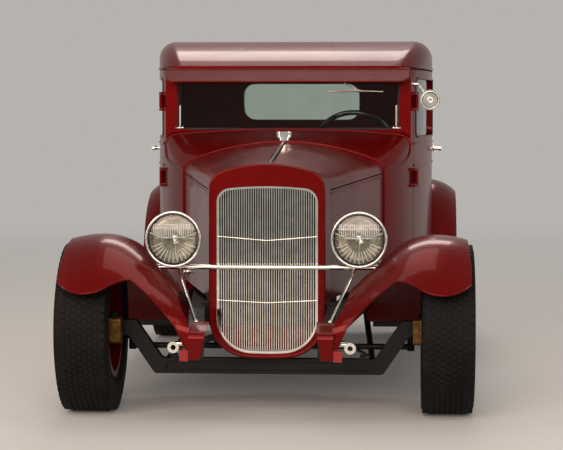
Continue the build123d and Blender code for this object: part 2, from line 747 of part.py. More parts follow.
with BuildSketch() as plan_shape:
    with BuildLine():
        for side in (1, -1):
            widest = (side * BODY_MAX_HALF, at(BODY_MAX_S))
            TangentArc(widest, (side * BODY_FRONT_HALF, at(SCREEN_S)), tangent=(0, -1))
            TangentArc(widest, (side * BODY_TAIL_HALF, at(TAIL_S + 60)), tangent=(0, 1))
        Line((BODY_FRONT_HALF, at(SCREEN_S)), (-BODY_FRONT_HALF, at(SCREEN_S)))
        Line((BODY_TAIL_HALF, at(TAIL_S + 60)), (-BODY_TAIL_HALF, at(TAIL_S + 60)))
    make_face()


def half_at(s):
    """Half width of the body at a station."""
    run, drop = (BODY_MAX_S - SCREEN_S, BODY_MAX_HALF - BODY_FRONT_HALF)
    if s > BODY_MAX_S:
        run, drop = (TAIL_S + 60 - BODY_MAX_S, BODY_MAX_HALF - BODY_TAIL_HALF)
    arc_r = (run**2 + drop**2) / (2 * drop)
    return BODY_MAX_HALF - arc_r + sqrt(arc_r**2 - (s - BODY_MAX_S) ** 2)


def arc_height(a, b, c, s):
    """Height at a station of the round arch through three points."""
    ends = [p[0] ** 2 + p[1] ** 2 for p in (a, b, c)]
    twice = 2 * (a[0] * (b[1] - c[1]) + b[0] * (c[1] - a[1]) + c[0] * (a[1] - b[1]))
    mid_s = (ends[0] * (b[1] - c[1]) + ends[1] * (c[1] - a[1]) + ends[2] * (a[1] - b[1])) / twice
    mid_z = (ends[0] * (c[0] - b[0]) + ends[1] * (a[0] - c[0]) + ends[2] * (b[0] - a[0])) / twice
    arch_r = sqrt((a[0] - mid_s) ** 2 + (a[1] - mid_z) ** 2)
    return mid_z + sqrt(arch_r**2 - (s - mid_s) ** 2)


def body_form(inset, edge_r):
    with BuildPart() as form:
        with BuildSketch(Plane.YZ):
            add(side_shape.sketch)
            if inset:
                offset(amount=-inset, kind=Kind.INTERSECTION)
        extrude(amount=900, both=True)
        with BuildSketch(Plane.XY):
            add(plan_shape.sketch)
            if inset:
                offset(amount=-inset, kind=Kind.INTERSECTION)
        extrude(amount=1700, mode=Mode.INTERSECT)
        if edge_r:
            rim = [
                e
                for e in form.edges()
                if abs(e.center().X) > 300 and e.center().Z > BODY_LOW + 5 and e.bounding_box().size.Y > 5
            ]
            fillet(rim, edge_r)
    return form


body_out = body_form(0, EDGE_R)
body_in = body_form(WALL, 0)

WINDOW_ROWS = dict(
    door=dict(start=DOOR_FRONT + 46, end=DOOR_REAR - 46, low=1078, high=WINDOW_HIGH, r=40),
    quarter=dict(start=DOOR_REAR + 64, end=ROOF_BACK[0] - 64, low=1092, high=WINDOW_HIGH, r=50),
)


def side_window(row, fit):
    with BuildPart() as prism:
        with BuildSketch(Plane.YZ):
            with Locations((at((row["start"] + row["end"]) / 2), (row["low"] + row["high"]) / 2)):
                length = row["end"] - row["start"] - 2 * fit
                RectangleRounded(length, row["high"] - row["low"] - 2 * fit, row["r"] - fit)
        extrude(amount=800, both=True)
    return prism


def end_window(s, reach, half, low, high, r, fit):
    with BuildPart() as prism:
        with BuildSketch(cross(s)):
            with Locations((0, (low + high) / 2)):
                RectangleRounded(2 * (half - fit), high - low - 2 * fit, r - fit)
        extrude(amount=-reach)
    return prism


SCREEN_ROW = dict(s=SCREEN_S - 5, reach=POST_T + 12, half=SCREEN_HALF, low=1110, high=WINDOW_HIGH, r=30)
BACK_ROW = dict(s=ROOF_BACK[0] - 60, reach=250, half=300, low=1150, high=1335, r=60)

# Hollow body, before it is split into its panels
with BuildPart() as hollow:
    add(body_out.part)
    add(body_in.part, mode=Mode.SUBTRACT)
    with BuildSketch(Plane.XY.offset(BODY_LOW - 5)):
        add(plan_shape.sketch)
        offset(amount=-WALL, kind=Kind.INTERSECTION)
        with Locations((0, at((SCREEN_S + POST_T + TAIL_S - 110) / 2))):
            Rectangle(3 * BODY_MAX_HALF, TAIL_S - 110 - SCREEN_S - POST_T, mode=Mode.INTERSECT)
    extrude(amount=80, mode=Mode.SUBTRACT)
    with BuildSketch(cross(SCREEN_S - 5)):
        with Locations((0, (BODY_LOW - 20 + 1030) / 2)):
            Rectangle(2 * SCREEN_HALF - 20, 1030 - BODY_LOW + 20)
    extrude(amount=-(POST_T + 12), mode=Mode.SUBTRACT)
    for prism in (
        side_window(WINDOW_ROWS["door"], 0),
        side_window(WINDOW_ROWS["quarter"], 0),
        end_window(fit=0, **SCREEN_ROW),
        end_window(fit=0, **BACK_ROW),
    ):
        add(prism.part, mode=Mode.SUBTRACT)


def slab(piece, x0, x1, s0, s1, z0, z1):
    """The part of a piece inside a box."""
    with BuildPart() as cut:
        add(piece.part)
        with BuildSketch(Plane.XY.offset(z0)):
            with Locations(((x0 + x1) / 2, at((s0 + s1) / 2))):
                Rectangle(x1 - x0, s1 - s0)
        extrude(amount=z1 - z0, mode=Mode.INTERSECT)
    return cut


FAR = 4000
DOOR_HIGH = ROOF_SPLIT_Z - PANEL_GAP
windscreen_frame = slab(hollow, -900, 900, SCREEN_S - 50, SCREEN_S + POST_T, BODY_LOW - 50, ROOF_SPLIT_Z)
save(windscreen_frame, "windscreen_frame")
roof = slab(hollow, -900, 900, SCREEN_S - 50, FAR, ROOF_SPLIT_Z, 1700)
save(roof, "roof")

# Trunk lid, cut from the deck, on two outside hinges
LID_FRONT = BACK_FOOT[0] + 122
LID_REAR = DECK_END[0] - 68
LID_HALF = 380
TRUNK_HINGE_X = 260
TRUNK_HINGE_S = LID_FRONT - 4
TRUNK_HINGE_Z = arc_height(BACK_FOOT, DECK_MID, DECK_END, TRUNK_HINGE_S) + 14
rear_shell = slab(hollow, -900, 900, DOOR_REAR + PANEL_GAP, FAR, BODY_LOW - 50, ROOF_SPLIT_Z)
lid_cut = slab(rear_shell, -LID_HALF, LID_HALF, LID_FRONT, LID_REAR, 560, 1300)
with BuildPart() as trunk_lid:
    add(lid_cut.part)
    for x in (-TRUNK_HINGE_X, TRUNK_HINGE_X):
        with BuildSketch(Plane.YZ.offset(x - HINGE_HALF)):
            with Locations((at(TRUNK_HINGE_S), TRUNK_HINGE_Z)):
                Circle(KNUCKLE_R)
            with BuildLine():
                Polyline(
                    (at(TRUNK_HINGE_S - 2), TRUNK_HINGE_Z + 6),
                    (at(LID_FRONT + 50), TRUNK_HINGE_Z - 6),
                    (at(LID_FRONT + 50), TRUNK_HINGE_Z - 40),
                    (at(LID_FRONT + 6), TRUNK_HINGE_Z - 40),
                    (at(TRUNK_HINGE_S), TRUNK_HINGE_Z - 6),
                    close=True,
                )
            make_face()
            with Locations((at(TRUNK_HINGE_S), TRUNK_HINGE_Z)):
                Circle(HINGE_ROD_R + RUN_FIT, mode=Mode.SUBTRACT)
        extrude(amount=2 * HINGE_HALF)
save(trunk_lid, "trunk_lid")
with BuildPart() as rear_body:
    add(rear_shell.part)
    with BuildSketch(Plane.XY.offset(560)):
        with Locations((0, at((LID_FRONT + LID_REAR) / 2))):
            Rectangle(2 * (LID_HALF + PANEL_GAP), LID_REAR - LID_FRONT + 2 * PANEL_GAP)
    extrude(amount=800, mode=Mode.SUBTRACT)
    with BuildSketch(Plane.YZ.offset(REAR_WHEEL_X - REAR_TYRE_W / 2 - 10)):
        with Locations((at(WHEELBASE), REAR_TYRE_R)):
            Circle(REAR_TYRE_R + 30)
    extrude(amount=300, mode=Mode.SUBTRACT)
    with BuildSketch(Plane.YZ.offset(-REAR_WHEEL_X + REAR_TYRE_W / 2 + 10)):
        with Locations((at(WHEELBASE), REAR_TYRE_R)):
            Circle(REAR_TYRE_R + 30)
    extrude(amount=-300, mode=Mode.SUBTRACT)
save(rear_body, "rear_body")

# Trunk hinge, left: a pin between two lugs that stand on the deck ahead of the lid
with BuildPart() as trunk_hinge:
    with BuildSketch(Plane.YZ.offset(TRUNK_HINGE_X - HINGE_HALF - LUG_T - 2)):
        with Locations((at(TRUNK_HINGE_S), TRUNK_HINGE_Z)):
            Circle(HINGE_ROD_R)
    extrude(amount=2 * (HINGE_HALF + LUG_T + 2))
    for x in (TRUNK_HINGE_X - HINGE_HALF - LUG_T - 2, TRUNK_HINGE_X + HINGE_HALF + 2):
        with BuildSketch(Plane.YZ.offset(x)):
            with Locations((at(TRUNK_HINGE_S), TRUNK_HINGE_Z)):
                Circle(KNUCKLE_R)
            with BuildLine():
                Polyline(
                    (at(TRUNK_HINGE_S), TRUNK_HINGE_Z + 7),
                    (at(TRUNK_HINGE_S - 46), TRUNK_HINGE_Z - 4),
                    (at(TRUNK_HINGE_S - 46), TRUNK_HINGE_Z - 20),
                    (at(LID_FRONT - PANEL_GAP - 2), TRUNK_HINGE_Z - 20),
                    (at(TRUNK_HINGE_S), TRUNK_HINGE_Z - 7),
                    close=True,
                )
            make_face()
        extrude(amount=LUG_T)
    add(rear_body.part, mode=Mode.SUBTRACT)

# Doors with their hinge knuckles; the left one is built and mirrored
DOOR_AXIS_X = half_at(DOOR_FRONT) + 14
DOOR_AXIS_S = DOOR_FRONT - 3
HINGE_ROWS = (890, 1240)
with BuildPart() as wall_core:
    with BuildSketch(Plane.XY):
        add(plan_shape.sketch)
        offset(amount=-WALL, kind=Kind.INTERSECTION)
    extrude(amount=1700)
door_blank = slab(hollow, 100, 900, DOOR_FRONT, DOOR_REAR, DOOR_LOW, DOOR_HIGH)
with BuildPart() as door_left:
    add(door_blank.part)
    add(wall_core.part, mode=Mode.SUBTRACT)
    for z in HINGE_ROWS:
        with BuildSketch(Plane.XY.offset(z - HINGE_HALF)):
            with Locations((DOOR_AXIS_X, at(DOOR_AXIS_S))):
                Circle(KNUCKLE_R)
            with BuildLine():
                Polyline(
                    (DOOR_AXIS_X + 6, at(DOOR_AXIS_S)),
                    (DOOR_AXIS_X + 2, at(DOOR_AXIS_S + 44)),
                    (DOOR_AXIS_X - 24, at(DOOR_AXIS_S + 44)),
                    (DOOR_AXIS_X - 24, at(DOOR_FRONT + 6)),
                    (DOOR_AXIS_X - 10, at(DOOR_FRONT + 1)),
                    (DOOR_AXIS_X - 6, at(DOOR_AXIS_S)),
                    close=True,
                )
            make_face()
            with Locations((DOOR_AXIS_X, at(DOOR_AXIS_S))):
                Circle(HINGE_ROD_R + RUN_FIT, mode=Mode.SUBTRACT)
        extrude(amount=2 * HINGE_HALF)
save(door_left, "door_left")
save(other_side(door_left), "door_right")

# Door hinge posts, left: pins between lugs on the windscreen post
with BuildPart() as hinge_posts:
    for z in HINGE_ROWS:
        with BuildSketch(Plane.XY.offset(z - HINGE_HALF - 14)):
            with Locations((DOOR_AXIS_X, at(DOOR_AXIS_S))):
                Circle(HINGE_ROD_R)
        extrude(amount=2 * HINGE_HALF + 28)
        for base in (z - HINGE_HALF - 14, z + HINGE_HALF + 2):
            with BuildSketch(Plane.XY.offset(base)):
                with Locations((DOOR_AXIS_X, at(DOOR_AXIS_S))):
                    Circle(KNUCKLE_R)
                with BuildLine():
                    Polyline(
                        (DOOR_AXIS_X + 6, at(DOOR_AXIS_S)),
                        (DOOR_AXIS_X - 4, at(DOOR_AXIS_S - 40)),
                        (DOOR_AXIS_X - 40, at(DOOR_AXIS_S - 40)),
                        (DOOR_AXIS_X - 40, at(SCREEN_S + POST_T)),
                        (DOOR_AXIS_X - 8, at(DOOR_AXIS_S)),
                        close=True,
                    )
                make_face()
            extrude(amount=12)
    add(windscreen_frame.part, mode=Mode.SUBTRACT)
# All hinge pins and their lugs: doors, trunk lid and hood
with BuildPart() as hinges:
    for solid in hinge_posts.part.solids():
        if solid.volume > 2000 and solid.bounding_box().max.X > DOOR_AXIS_X:
            add(solid)
            mirror(solid, about=Plane.YZ)
    add(trunk_hinge.part)
    mirror(trunk_hinge.part, about=Plane.YZ)
    add(hood_hinge.part)
save(hinges, "hinges")

# Glass panes, each a thin band of the body's own form set in its opening
with BuildPart() as side_band:
    with BuildSketch(Plane.XY.offset(1000)):
        add(plan_shape.sketch)
        offset(amount=-GLASS_IN, kind=Kind.INTERSECTION)
    extrude(amount=400)
    with BuildSketch(Plane.XY.offset(1000)):
        add(plan_shape.sketch)
        offset(amount=-GLASS_IN - GLASS_T, kind=Kind.INTERSECTION)
    extrude(amount=400, mode=Mode.SUBTRACT)
with BuildPart() as door_panes:
    add(side_band.part)
    add(side_window(WINDOW_ROWS["door"], CURVE_GAP).part, mode=Mode.INTERSECT)
door_glass_left = slab(door_panes, 100, 900, 0, FAR, 900, 1500)
save(door_glass_left, "door_glass_left")
save(other_side(door_glass_left), "door_glass_right")

with BuildPart() as back_band:
    with BuildSketch(Plane.YZ):
        add(side_shape.sketch)
        offset(amount=-GLASS_IN, kind=Kind.INTERSECTION)
    extrude(amount=500, both=True)
    with BuildSketch(Plane.YZ):
        add(side_shape.sketch)
        offset(amount=-GLASS_IN - GLASS_T, kind=Kind.INTERSECTION)
    extrude(amount=500, both=True, mode=Mode.SUBTRACT)
    add(end_window(fit=CURVE_GAP, **BACK_ROW).part, mode=Mode.INTERSECT)
screen_row = dict(SCREEN_ROW, s=SCREEN_S + 18, reach=GLASS_T)
with BuildPart() as fixed_glass:
    add(side_band.part)
    add(side_window(WINDOW_ROWS["quarter"], CURVE_GAP).part, mode=Mode.INTERSECT)
    add(back_band.part)
    add(end_window(fit=CURVE_GAP, **screen_row).part)
save(fixed_glass, "fixed_glass")

# Sun visor over the windscreen, fixed to the header
with BuildPart() as sun_visor:
    with BuildSketch(Plane.YZ.offset(-556)):
        with BuildLine():
            Polyline(
                (at(SCREEN_S), ROOF_SPLIT_Z + 2),
                (at(SCREEN_S), ROOF_SPLIT_Z - 12),
                (at(SCREEN_S - 120), 1326),
                (at(SCREEN_S - 126), 1332),
                close=True,
            )
        make_face()
    extrude(amount=1112)
    with BuildSketch(Plane.XY.offset(1250)) as visor_plan:
        with Locations((0, at(SCREEN_S - 60))):
            Rectangle(1112, 140)
        fillet(visor_plan.vertices().group_by(Axis.Y)[0], 60)
    extrude(amount=200, mode=Mode.INTERSECT)
save(sun_visor, "sun_visor")

# Floor: cabin floor, heel board and luggage floor
LUGGAGE_HALF = BODY_TAIL_HALF + 50
LUGGAGE_LENGTH = 930
HEEL_T = 20
with BuildPart() as floor:
    with BuildSketch(Plane.XY.offset(RAIL_HIGH)):
        add(plan_shape.sketch)
        offset(amount=-WALL - PANEL_GAP, kind=Kind.INTERSECTION)
        with Locations((0, at((SCREEN_S + HEEL_S + HEEL_T / 2) / 2))):
            Rectangle(3 * BODY_MAX_HALF, HEEL_S + HEEL_T / 2 - SCREEN_S, mode=Mode.INTERSECT)
        with BuildLine():
            Polyline(
                (-400, at(HOOD_REAR + HOOD_GAP + FIREWALL_T)),
                (400, at(HOOD_REAR + HOOD_GAP + FIREWALL_T)),
                (SCREEN_HALF - 20, at(SCREEN_S + POST_T + 30)),
                (-SCREEN_HALF + 20, at(SCREEN_S + POST_T + 30)),
                close=True,
            )
        make_face()
    extrude(amount=20)
    with BuildSketch(Plane.XY.offset(RAIL_HIGH)):
        with Locations((0, at(HEEL_S))):
            Rectangle(2 * SEAT_HALF - 40, HEEL_T)
    extrude(amount=KICK_RISE + 20)
    with BuildSketch(Plane.XY.offset(RAIL_HIGH + KICK_RISE)):
        add(plan_shape.sketch)
        offset(amount=-WALL - CURVE_GAP, kind=Kind.INTERSECTION)
        with Locations((0, at(HEEL_S - HEEL_T / 2 + LUGGAGE_LENGTH / 2))):
            Rectangle(2 * LUGGAGE_HALF, LUGGAGE_LENGTH, mode=Mode.INTERSECT)
    extrude(amount=20)
save(floor, "floor")

# Dash rail under the windscreen, bored for the steering column on the left
WHEEL_X = BODY_FRONT_HALF - 265
COLUMN_TILT = 32
COLUMN_R = 22
STUB_R = 9
WHEEL_RIM_R = 178
WHEEL_GRIP_R = 12
COLUMN_END = Vector(WHEEL_X, at(1500), 1040)
column_dir = Vector(0, cos(radians(COLUMN_TILT)), sin(radians(COLUMN_TILT)))
with BuildPart() as dash:
    with BuildSketch(Plane.XY.offset(900)):
        with Locations((0, at(SCREEN_S + POST_T + 20))):
            Rectangle(2 * SCREEN_HALF, 40)
    extrude(amount=160)
    with BuildSketch(Plane(COLUMN_END - column_dir * 640, x_dir=(1, 0, 0), z_dir=column_dir)):
        Circle(COLUMN_R + CURVE_GAP)
    extrude(amount=600, mode=Mode.SUBTRACT)
save(dash, "dash")

# Bench seat: cushion and back
with BuildPart() as seat_cushion:
    with BuildSketch(Plane.XY.offset(RAIL_HIGH + 20)):
        with Locations((0, at(HEEL_S - HEEL_T / 2 - 230))):
            Rectangle(2 * SEAT_HALF, 460)
    extrude(amount=190)
    fillet(seat_cushion.edges().group_by(Axis.Z)[-1], 40)
save(seat_cushion, "seat_cushion")
with BuildPart() as seat_back:
    with BuildSketch(Plane.YZ.offset(-SEAT_HALF)):
        with BuildLine():
            Polyline(
                (at(HEEL_S + 14), RAIL_HIGH + KICK_RISE + 20),
                (at(HEEL_S + 160), RAIL_HIGH + KICK_RISE + 20),
                (at(HEEL_S + 240), 1060),
                (at(HEEL_S + 100), 1060),
                close=True,
            )
        make_face()
    extrude(amount=2 * SEAT_HALF)
    fillet(seat_back.edges().group_by(Axis.Z)[-1], 30)
save(seat_back, "seat_back")

# Steering column and wheel on the left
with BuildPart() as steering_column:
    with BuildSketch(Plane(COLUMN_END - column_dir * 640, x_dir=(1, 0, 0), z_dir=column_dir)):
        Circle(COLUMN_R)
    extrude(amount=600)
    with BuildSketch(Plane(COLUMN_END - column_dir * 640, x_dir=(1, 0, 0), z_dir=column_dir)):
        Circle(STUB_R)
    extrude(amount=660)
    add(cowl.part, mode=Mode.SUBTRACT)
save(steering_column, "steering_column")
with BuildPart() as steering_wheel:
    with BuildSketch(Plane(COLUMN_END, x_dir=(1, 0, 0), z_dir=column_dir)):
        with PolarLocations(0, 3, start_angle=90):
            with Locations((WHEEL_RIM_R / 2, 0)):
                Rectangle(WHEEL_RIM_R, 26)
        Circle(34)
    extrude(amount=-10)
    with BuildSketch(Plane(COLUMN_END, x_dir=(1, 0, 0), z_dir=Vector(1, 0, 0).cross(column_dir))):
        with Locations((WHEEL_RIM_R, -5)):
            Circle(WHEEL_GRIP_R)
    revolve(axis=Axis(COLUMN_END, column_dir))
    with BuildSketch(Plane(COLUMN_END - column_dir * 30, x_dir=(1, 0, 0), z_dir=column_dir)):
        Circle(STUB_R + RUN_FIT)
    extrude(amount=60, mode=Mode.SUBTRACT)
save(steering_wheel, "steering_wheel")

# Front fender, left: skin lofted through sections that fan out round the front axle
FENDER_ROOT = 260
FENDER_TABLED = 800
FENDER_ROWS = [
    dict(turn=-9, inner=(262, 438), dip=(340, 446), crown=(640, 452), outer=(780, 438)),
    dict(turn=4, inner=(268, 432), dip=(346, 442), crown=(640, 446), outer=(784, 422)),
    dict(turn=16, inner=(304, 400), dip=(380, 422), crown=(645, 432), outer=(790, 398)),
    dict(turn=32, inner=(330, 306), dip=(440, 374), crown=(650, 406), outer=(796, 372)),
    dict(turn=48, inner=(322, 206), dip=(470, 346), crown=(652, 386), outer=(794, 358)),
    dict(turn=66, inner=(306, 110), dip=(490, 326), crown=(655, 376), outer=(788, 356)),
    dict(turn=90, inner=(304, 88), dip=(495, 310), crown=(658, 371), outer=(786, 354)),
    dict(turn=118, inner=(316, 106), dip=(497, 326), crown=(662, 389), outer=(790, 362)),
    dict(turn=145, inner=(344, 172), dip=(500, 374), crown=(668, 426), outer=(796, 392)),
    dict(turn=165, inner=(366, 400), dip=(500, 472), crown=(676, 501), outer=(FENDER_TABLED, 470)),
    dict(turn=178, inner=(372, 596), dip=(500, 606), crown=(684, 616), outer=(FENDER_TABLED, 600)),
    dict(turn=184, inner=(376, 688), dip=(500, 690), crown=(690, 692), outer=(FENDER_TABLED, 688)),
]
TIP_LOW = MARKER_LOW + MARKER_H + CURVE_GAP
LIP_START = (830, 566)
LIP_ARCS = [
    dict(mid=(716, 503), end=(600, 524)),
    dict(mid=(556, 544), end=(512, 551)),
    dict(mid=(406, 470), end=(324, 384)),
    dict(mid=(299, 330), end=(286, TIP_LOW)),
]


def shifted(arc, wall):
    """The arc that runs beside another at the wall thickness, on its right."""
    points = []
    for step in (1, 0.5, 0):
        way = arc % step
        points.append(arc @ step + Vector(way.Y, -way.X) * wall)
    return points


def across(point):
    """A tabled place, drawn out or in as the fender's outer edge moves from the tabled one."""
    share = (FENDER_OUT - FENDER_ROOT) / (FENDER_TABLED - FENDER_ROOT)
    return (FENDER_ROOT + (point[0] - FENDER_ROOT) * share, point[1])


def fender_face(row, wall):
    with BuildSketch() as shape:
        with BuildLine():
            near = TangentArc(row["crown"], row["dip"], tangent=(-1, 0))
            far = TangentArc(near @ 1, row["inner"], tangent=near % 1)
            skirt = TangentArc(row["crown"], row["outer"], tangent=(1, 0))
            in_far = ThreePointArc(*shifted(far, -wall))
            in_near = ThreePointArc(*shifted(near, -wall))
            in_skirt = ThreePointArc(*shifted(skirt, wall))
            Line(far @ 1, in_far @ 0)
            Line(skirt @ 1, in_skirt @ 0)
        make_face()
    return shape.sketch


def fan(s, axle_z, turn):
    """A plane through an axle line; its second axis points away from the axle."""
    lean = radians(turn)
    return Plane((0, at(s), axle_z), x_dir=(1, 0, 0), z_dir=(0, -sin(lean), -cos(lean)))


for row in FENDER_ROWS:
    for place in ("dip", "crown", "outer"):
        row[place] = across(row[place])
fender_faces = [fender_face(row, FENDER_WALL) for row in FENDER_ROWS]
with BuildPart() as front_fender:
    for row, face in zip(FENDER_ROWS, fender_faces):
        with BuildSketch(fan(0, FRONT_TYRE_R, row["turn"])):
            add(face)
    loft()
    with BuildSketch(cross(-100)):
        with BuildLine():
            edge = across(LIP_START)
            for row in LIP_ARCS:
                ThreePointArc(edge, across(row["mid"]), across(row["end"]))
                edge = across(row["end"])
            Polyline(edge, (150, TIP_LOW), (150, 150), (across(LIP_START)[0], 150), across(LIP_START))
        make_face()
    extrude(amount=500, mode=Mode.SUBTRACT)
    add(rail.part, mode=Mode.SUBTRACT)
fender_left = front_fender.part.solids().sort_by(SortBy.VOLUME)[-1]

# Horn cover, left: a cap over the front end of the frame rail
COVER_BACK = 120
with BuildPart() as horn_cover:
    with BuildSketch(Plane.YZ.offset(RAIL_FRONT_X - RAIL_W - 12)):
        with BuildLine():
            face = Line((at(-FRONT_REACH), HORN_LOW - 3), (at(-FRONT_REACH), COVER_HIGH - 30))
            bend = TangentArc(face @ 1, (at(-FRONT_REACH + 34), COVER_HIGH), tangent=face % 1)
            Polyline(
                bend @ 1,
                (at(-FRONT_REACH + COVER_BACK), COVER_HIGH + 26),
                (at(-FRONT_REACH + COVER_BACK), HORN_LOW - 3),
                face @ 0,
            )
        make_face()
    extrude(amount=RAIL_W + 14)
    with BuildSketch(cross(-FRONT_REACH)):
        with BuildLine():
            Polyline(
                (RAIL_FRONT_X - RAIL_W - 12, COVER_HIGH + 40),
                (RAIL_FRONT_X + 2, COVER_HIGH + 40),
                (RAIL_FRONT_X - 4, HORN_LOW - 3),
                (RAIL_FRONT_X - RAIL_W + 14, HORN_LOW - 3),
                close=True,
            )
        make_face()
    extrude(amount=-COVER_BACK, mode=Mode.INTERSECT)
    with BuildSketch(Plane.YZ.offset(RAIL_FRONT_X - RAIL_W - 30)):
        with BuildLine():
            Polyline(
                (at(-FRONT_REACH + COVER_T), HORN_LOW - 40),
                (at(-FRONT_REACH + COVER_T), COVER_HIGH - 22),
                (at(-FRONT_REACH + 36), COVER_HIGH - COVER_T),
                (at(-FRONT_REACH + COVER_BACK + 10), COVER_HIGH + 26 - COVER_T),
                (at(-FRONT_REACH + COVER_BACK + 10), HORN_LOW - 40),
                close=True,
            )
        make_face()
    extrude(amount=RAIL_W + 60, mode=Mode.SUBTRACT)
    add(rail.part, mode=Mode.SUBTRACT)
with BuildPart() as front_fenders:
    for piece in (fender_left, horn_cover.part):
        add(piece)
        mirror(piece, about=Plane.YZ)
save(front_fenders, "front_fenders")

# Rear fender, left: a crowned arch turned about the rear axle line
with BuildPart() as rear_fender:
    arch = fender_face(
        dict(
            inner=(440, REAR_FENDER_R - 12),
            dip=(560, REAR_FENDER_R - 3),
            crown=(650, REAR_FENDER_R),
            outer=(REAR_FENDER_OUT, REAR_FENDER_R - 62),
        ),
        FENDER_WALL,
    )
    with BuildSketch(fan(WHEELBASE, REAR_TYRE_R, -9)):
        add(arch)
    revolve(axis=Axis((0, at(WHEELBASE), REAR_TYRE_R), (1, 0, 0)), revolution_arc=-200)
    add(body_out.part, mode=Mode.SUBTRACT)
    add(rail.part, mode=Mode.SUBTRACT)
save(both_sides(rear_fender), "rear_fenders")

# Running boards between the fenders, with upright splash aprons below the body
BOARD_FRONT = 696
BOARD_REAR = WHEELBASE - REAR_FENDER_R - 5
APRON_T = 4
APRON_LINE = [(404, BOARD_FRONT), (424, HOOD_REAR), (548, SCREEN_S), (636, 1900), (644, BOARD_REAR)]
with BuildPart() as running_board:
    with BuildSketch(Plane.XY.offset(BOARD_TOP - BOARD_T)):
        with BuildLine():
            Polyline(
                *[(x, at(s)) for x, s in APRON_LINE],
                (REAR_FENDER_OUT, at(BOARD_REAR)),
                (FENDER_OUT, at(BOARD_FRONT)),
                close=True,
            )
        make_face()
    extrude(amount=BOARD_T)
save(both_sides(running_board), "running_boards")
with BuildPart() as apron:
    with BuildSketch(Plane.XY.offset(BOARD_TOP)):
        with BuildLine():
            Polyline(
                *[(x, at(s)) for x, s in APRON_LINE],
                *[(x + APRON_T, at(s)) for x, s in reversed(APRON_LINE)],
                close=True,
            )
        make_face()
    extrude(amount=BODY_LOW - BOARD_TOP)
save(both_sides(apron), "splash_aprons")

# Cross members, with the arms that carry the running boards out from the rails
with BuildPart() as bracket:
    for s in (1250, 1650, 2060):
        with BuildSketch(Plane.XY.offset(BOARD_TOP - BOARD_T - 8)):
            with Locations(((RAIL_BACK_X - 30 + 740) / 2, at(s))):
                Rectangle(740 - RAIL_BACK_X + 30, 40)
        extrude(amount=8)
        with BuildSketch(Plane.XY.offset(BOARD_TOP - BOARD_T)):
            with Locations((RAIL_BACK_X - 20, at(s))):
                Rectangle(10, 40)
        extrude(amount=RAIL_LOW - BOARD_TOP + BOARD_T)
with BuildPart() as frame_arms:
    add(crossmembers.part)
    add(bracket.part)
    mirror(bracket.part, about=Plane.YZ)
save(frame_arms, "crossmembers")

# Headlamps: bright bowls with a rim, and fluted lenses
LAMP_X = 363
LAMP_Z = 696
LAMP_R = 110
LENS_R = 98
LAMP_FRONT = -166
LAMP_DEPTH = 176
lamp_axis = Axis((LAMP_X, at(0), LAMP_Z), (0, 1, 0))
with BuildPart() as lamp_shell:
    with BuildSketch(Plane.YZ.offset(LAMP_X)):
        with Locations((at(LAMP_FRONT + 10), LAMP_Z + (LAMP_R + LENS_R) / 2)):
            Rectangle(20, LAMP_R - LENS_R)
        with BuildLine():
            back = TangentArc(
                (at(LAMP_FRONT + LAMP_DEPTH), LAMP_Z),
                (at(LAMP_FRONT + 142), LAMP_Z + 66),
                tangent=(0, 1),
            )
            bowl = TangentArc(back @ 1, (at(LAMP_FRONT + 16), LAMP_Z + LAMP_R - 4), tangent=back % 1)
            in_back = TangentArc(
                (at(LAMP_FRONT + LAMP_DEPTH - 5), LAMP_Z),
                (at(LAMP_FRONT + 139), LAMP_Z + 61),
                tangent=(0, 1),
            )
            in_end = (at(LAMP_FRONT + 16), LAMP_Z + LAMP_R - 9)
            in_bowl = TangentArc(in_back @ 1, in_end, tangent=in_back % 1)
            Line(back @ 0, in_back @ 0)
            Line(bowl @ 1, in_bowl @ 1)
        make_face()
    revolve(axis=lamp_axis)
save(both_sides(lamp_shell), "headlamp_shells")
with BuildPart() as lamp_lens:
    with BuildSketch(Plane.YZ.offset(LAMP_X)):
        with BuildLine():
            Polyline(
                (at(LAMP_FRONT - 8), LAMP_Z),
                (at(LAMP_FRONT + 6), LAMP_Z),
                (at(LAMP_FRONT + 12), LAMP_Z + LENS_R - CURVE_GAP),
                (at(LAMP_FRONT + 4), LAMP_Z + LENS_R - CURVE_GAP),
            )
            lens_rim = (at(LAMP_FRONT + 4), LAMP_Z + LENS_R - CURVE_GAP)
            TangentArc((at(LAMP_FRONT - 8), LAMP_Z), lens_rim, tangent=(0, 1))
        make_face()
    revolve(axis=lamp_axis)
save(both_sides(lamp_lens), "headlamp_lenses")

# Lamp bar across the nose with lamp posts, and stays down to the horns
BAR_S = -108
BAR_Z = 584
BAR_R = 10
with BuildPart() as lamp_bar:
    with BuildLine(cross(BAR_S)) as bar_path:
        FilletPolyline((-540, 673), (-462, BAR_Z), (462, BAR_Z), (540, 673), radius=40)
    with BuildSketch(Plane(bar_path.line @ 0, z_dir=bar_path.line % 0)):
        Circle(BAR_R)
    sweep(path=bar_path.line)
    for side in (-1, 1):
        with BuildSketch(Plane.XY.offset(BAR_Z)):
            with Locations((side * LAMP_X, at(BAR_S))):
                Circle(12)
        extrude(amount=40)
        top = Vector(side * (LAMP_X - 14), at(BAR_S), BAR_Z)
        foot = Vector(side * 250, at(-320), 364)
        with BuildSketch(Plane(top, z_dir=foot - top)):
            Circle(6)
        extrude(amount=(foot - top).length)
    add(front_fenders.part, mode=Mode.SUBTRACT)
    add(rails.part, mode=Mode.SUBTRACT)
    add(lamp_shell.part, mode=Mode.SUBTRACT)
    mirror(lamp_shell.part, about=Plane.YZ, mode=Mode.SUBTRACT)
whole_bar = lamp_bar.part.solids().sort_by(SortBy.VOLUME)[-1]
with BuildPart() as headlamp_bar:
    add(whole_bar)
save(headlamp_bar, "headlamp_bar")

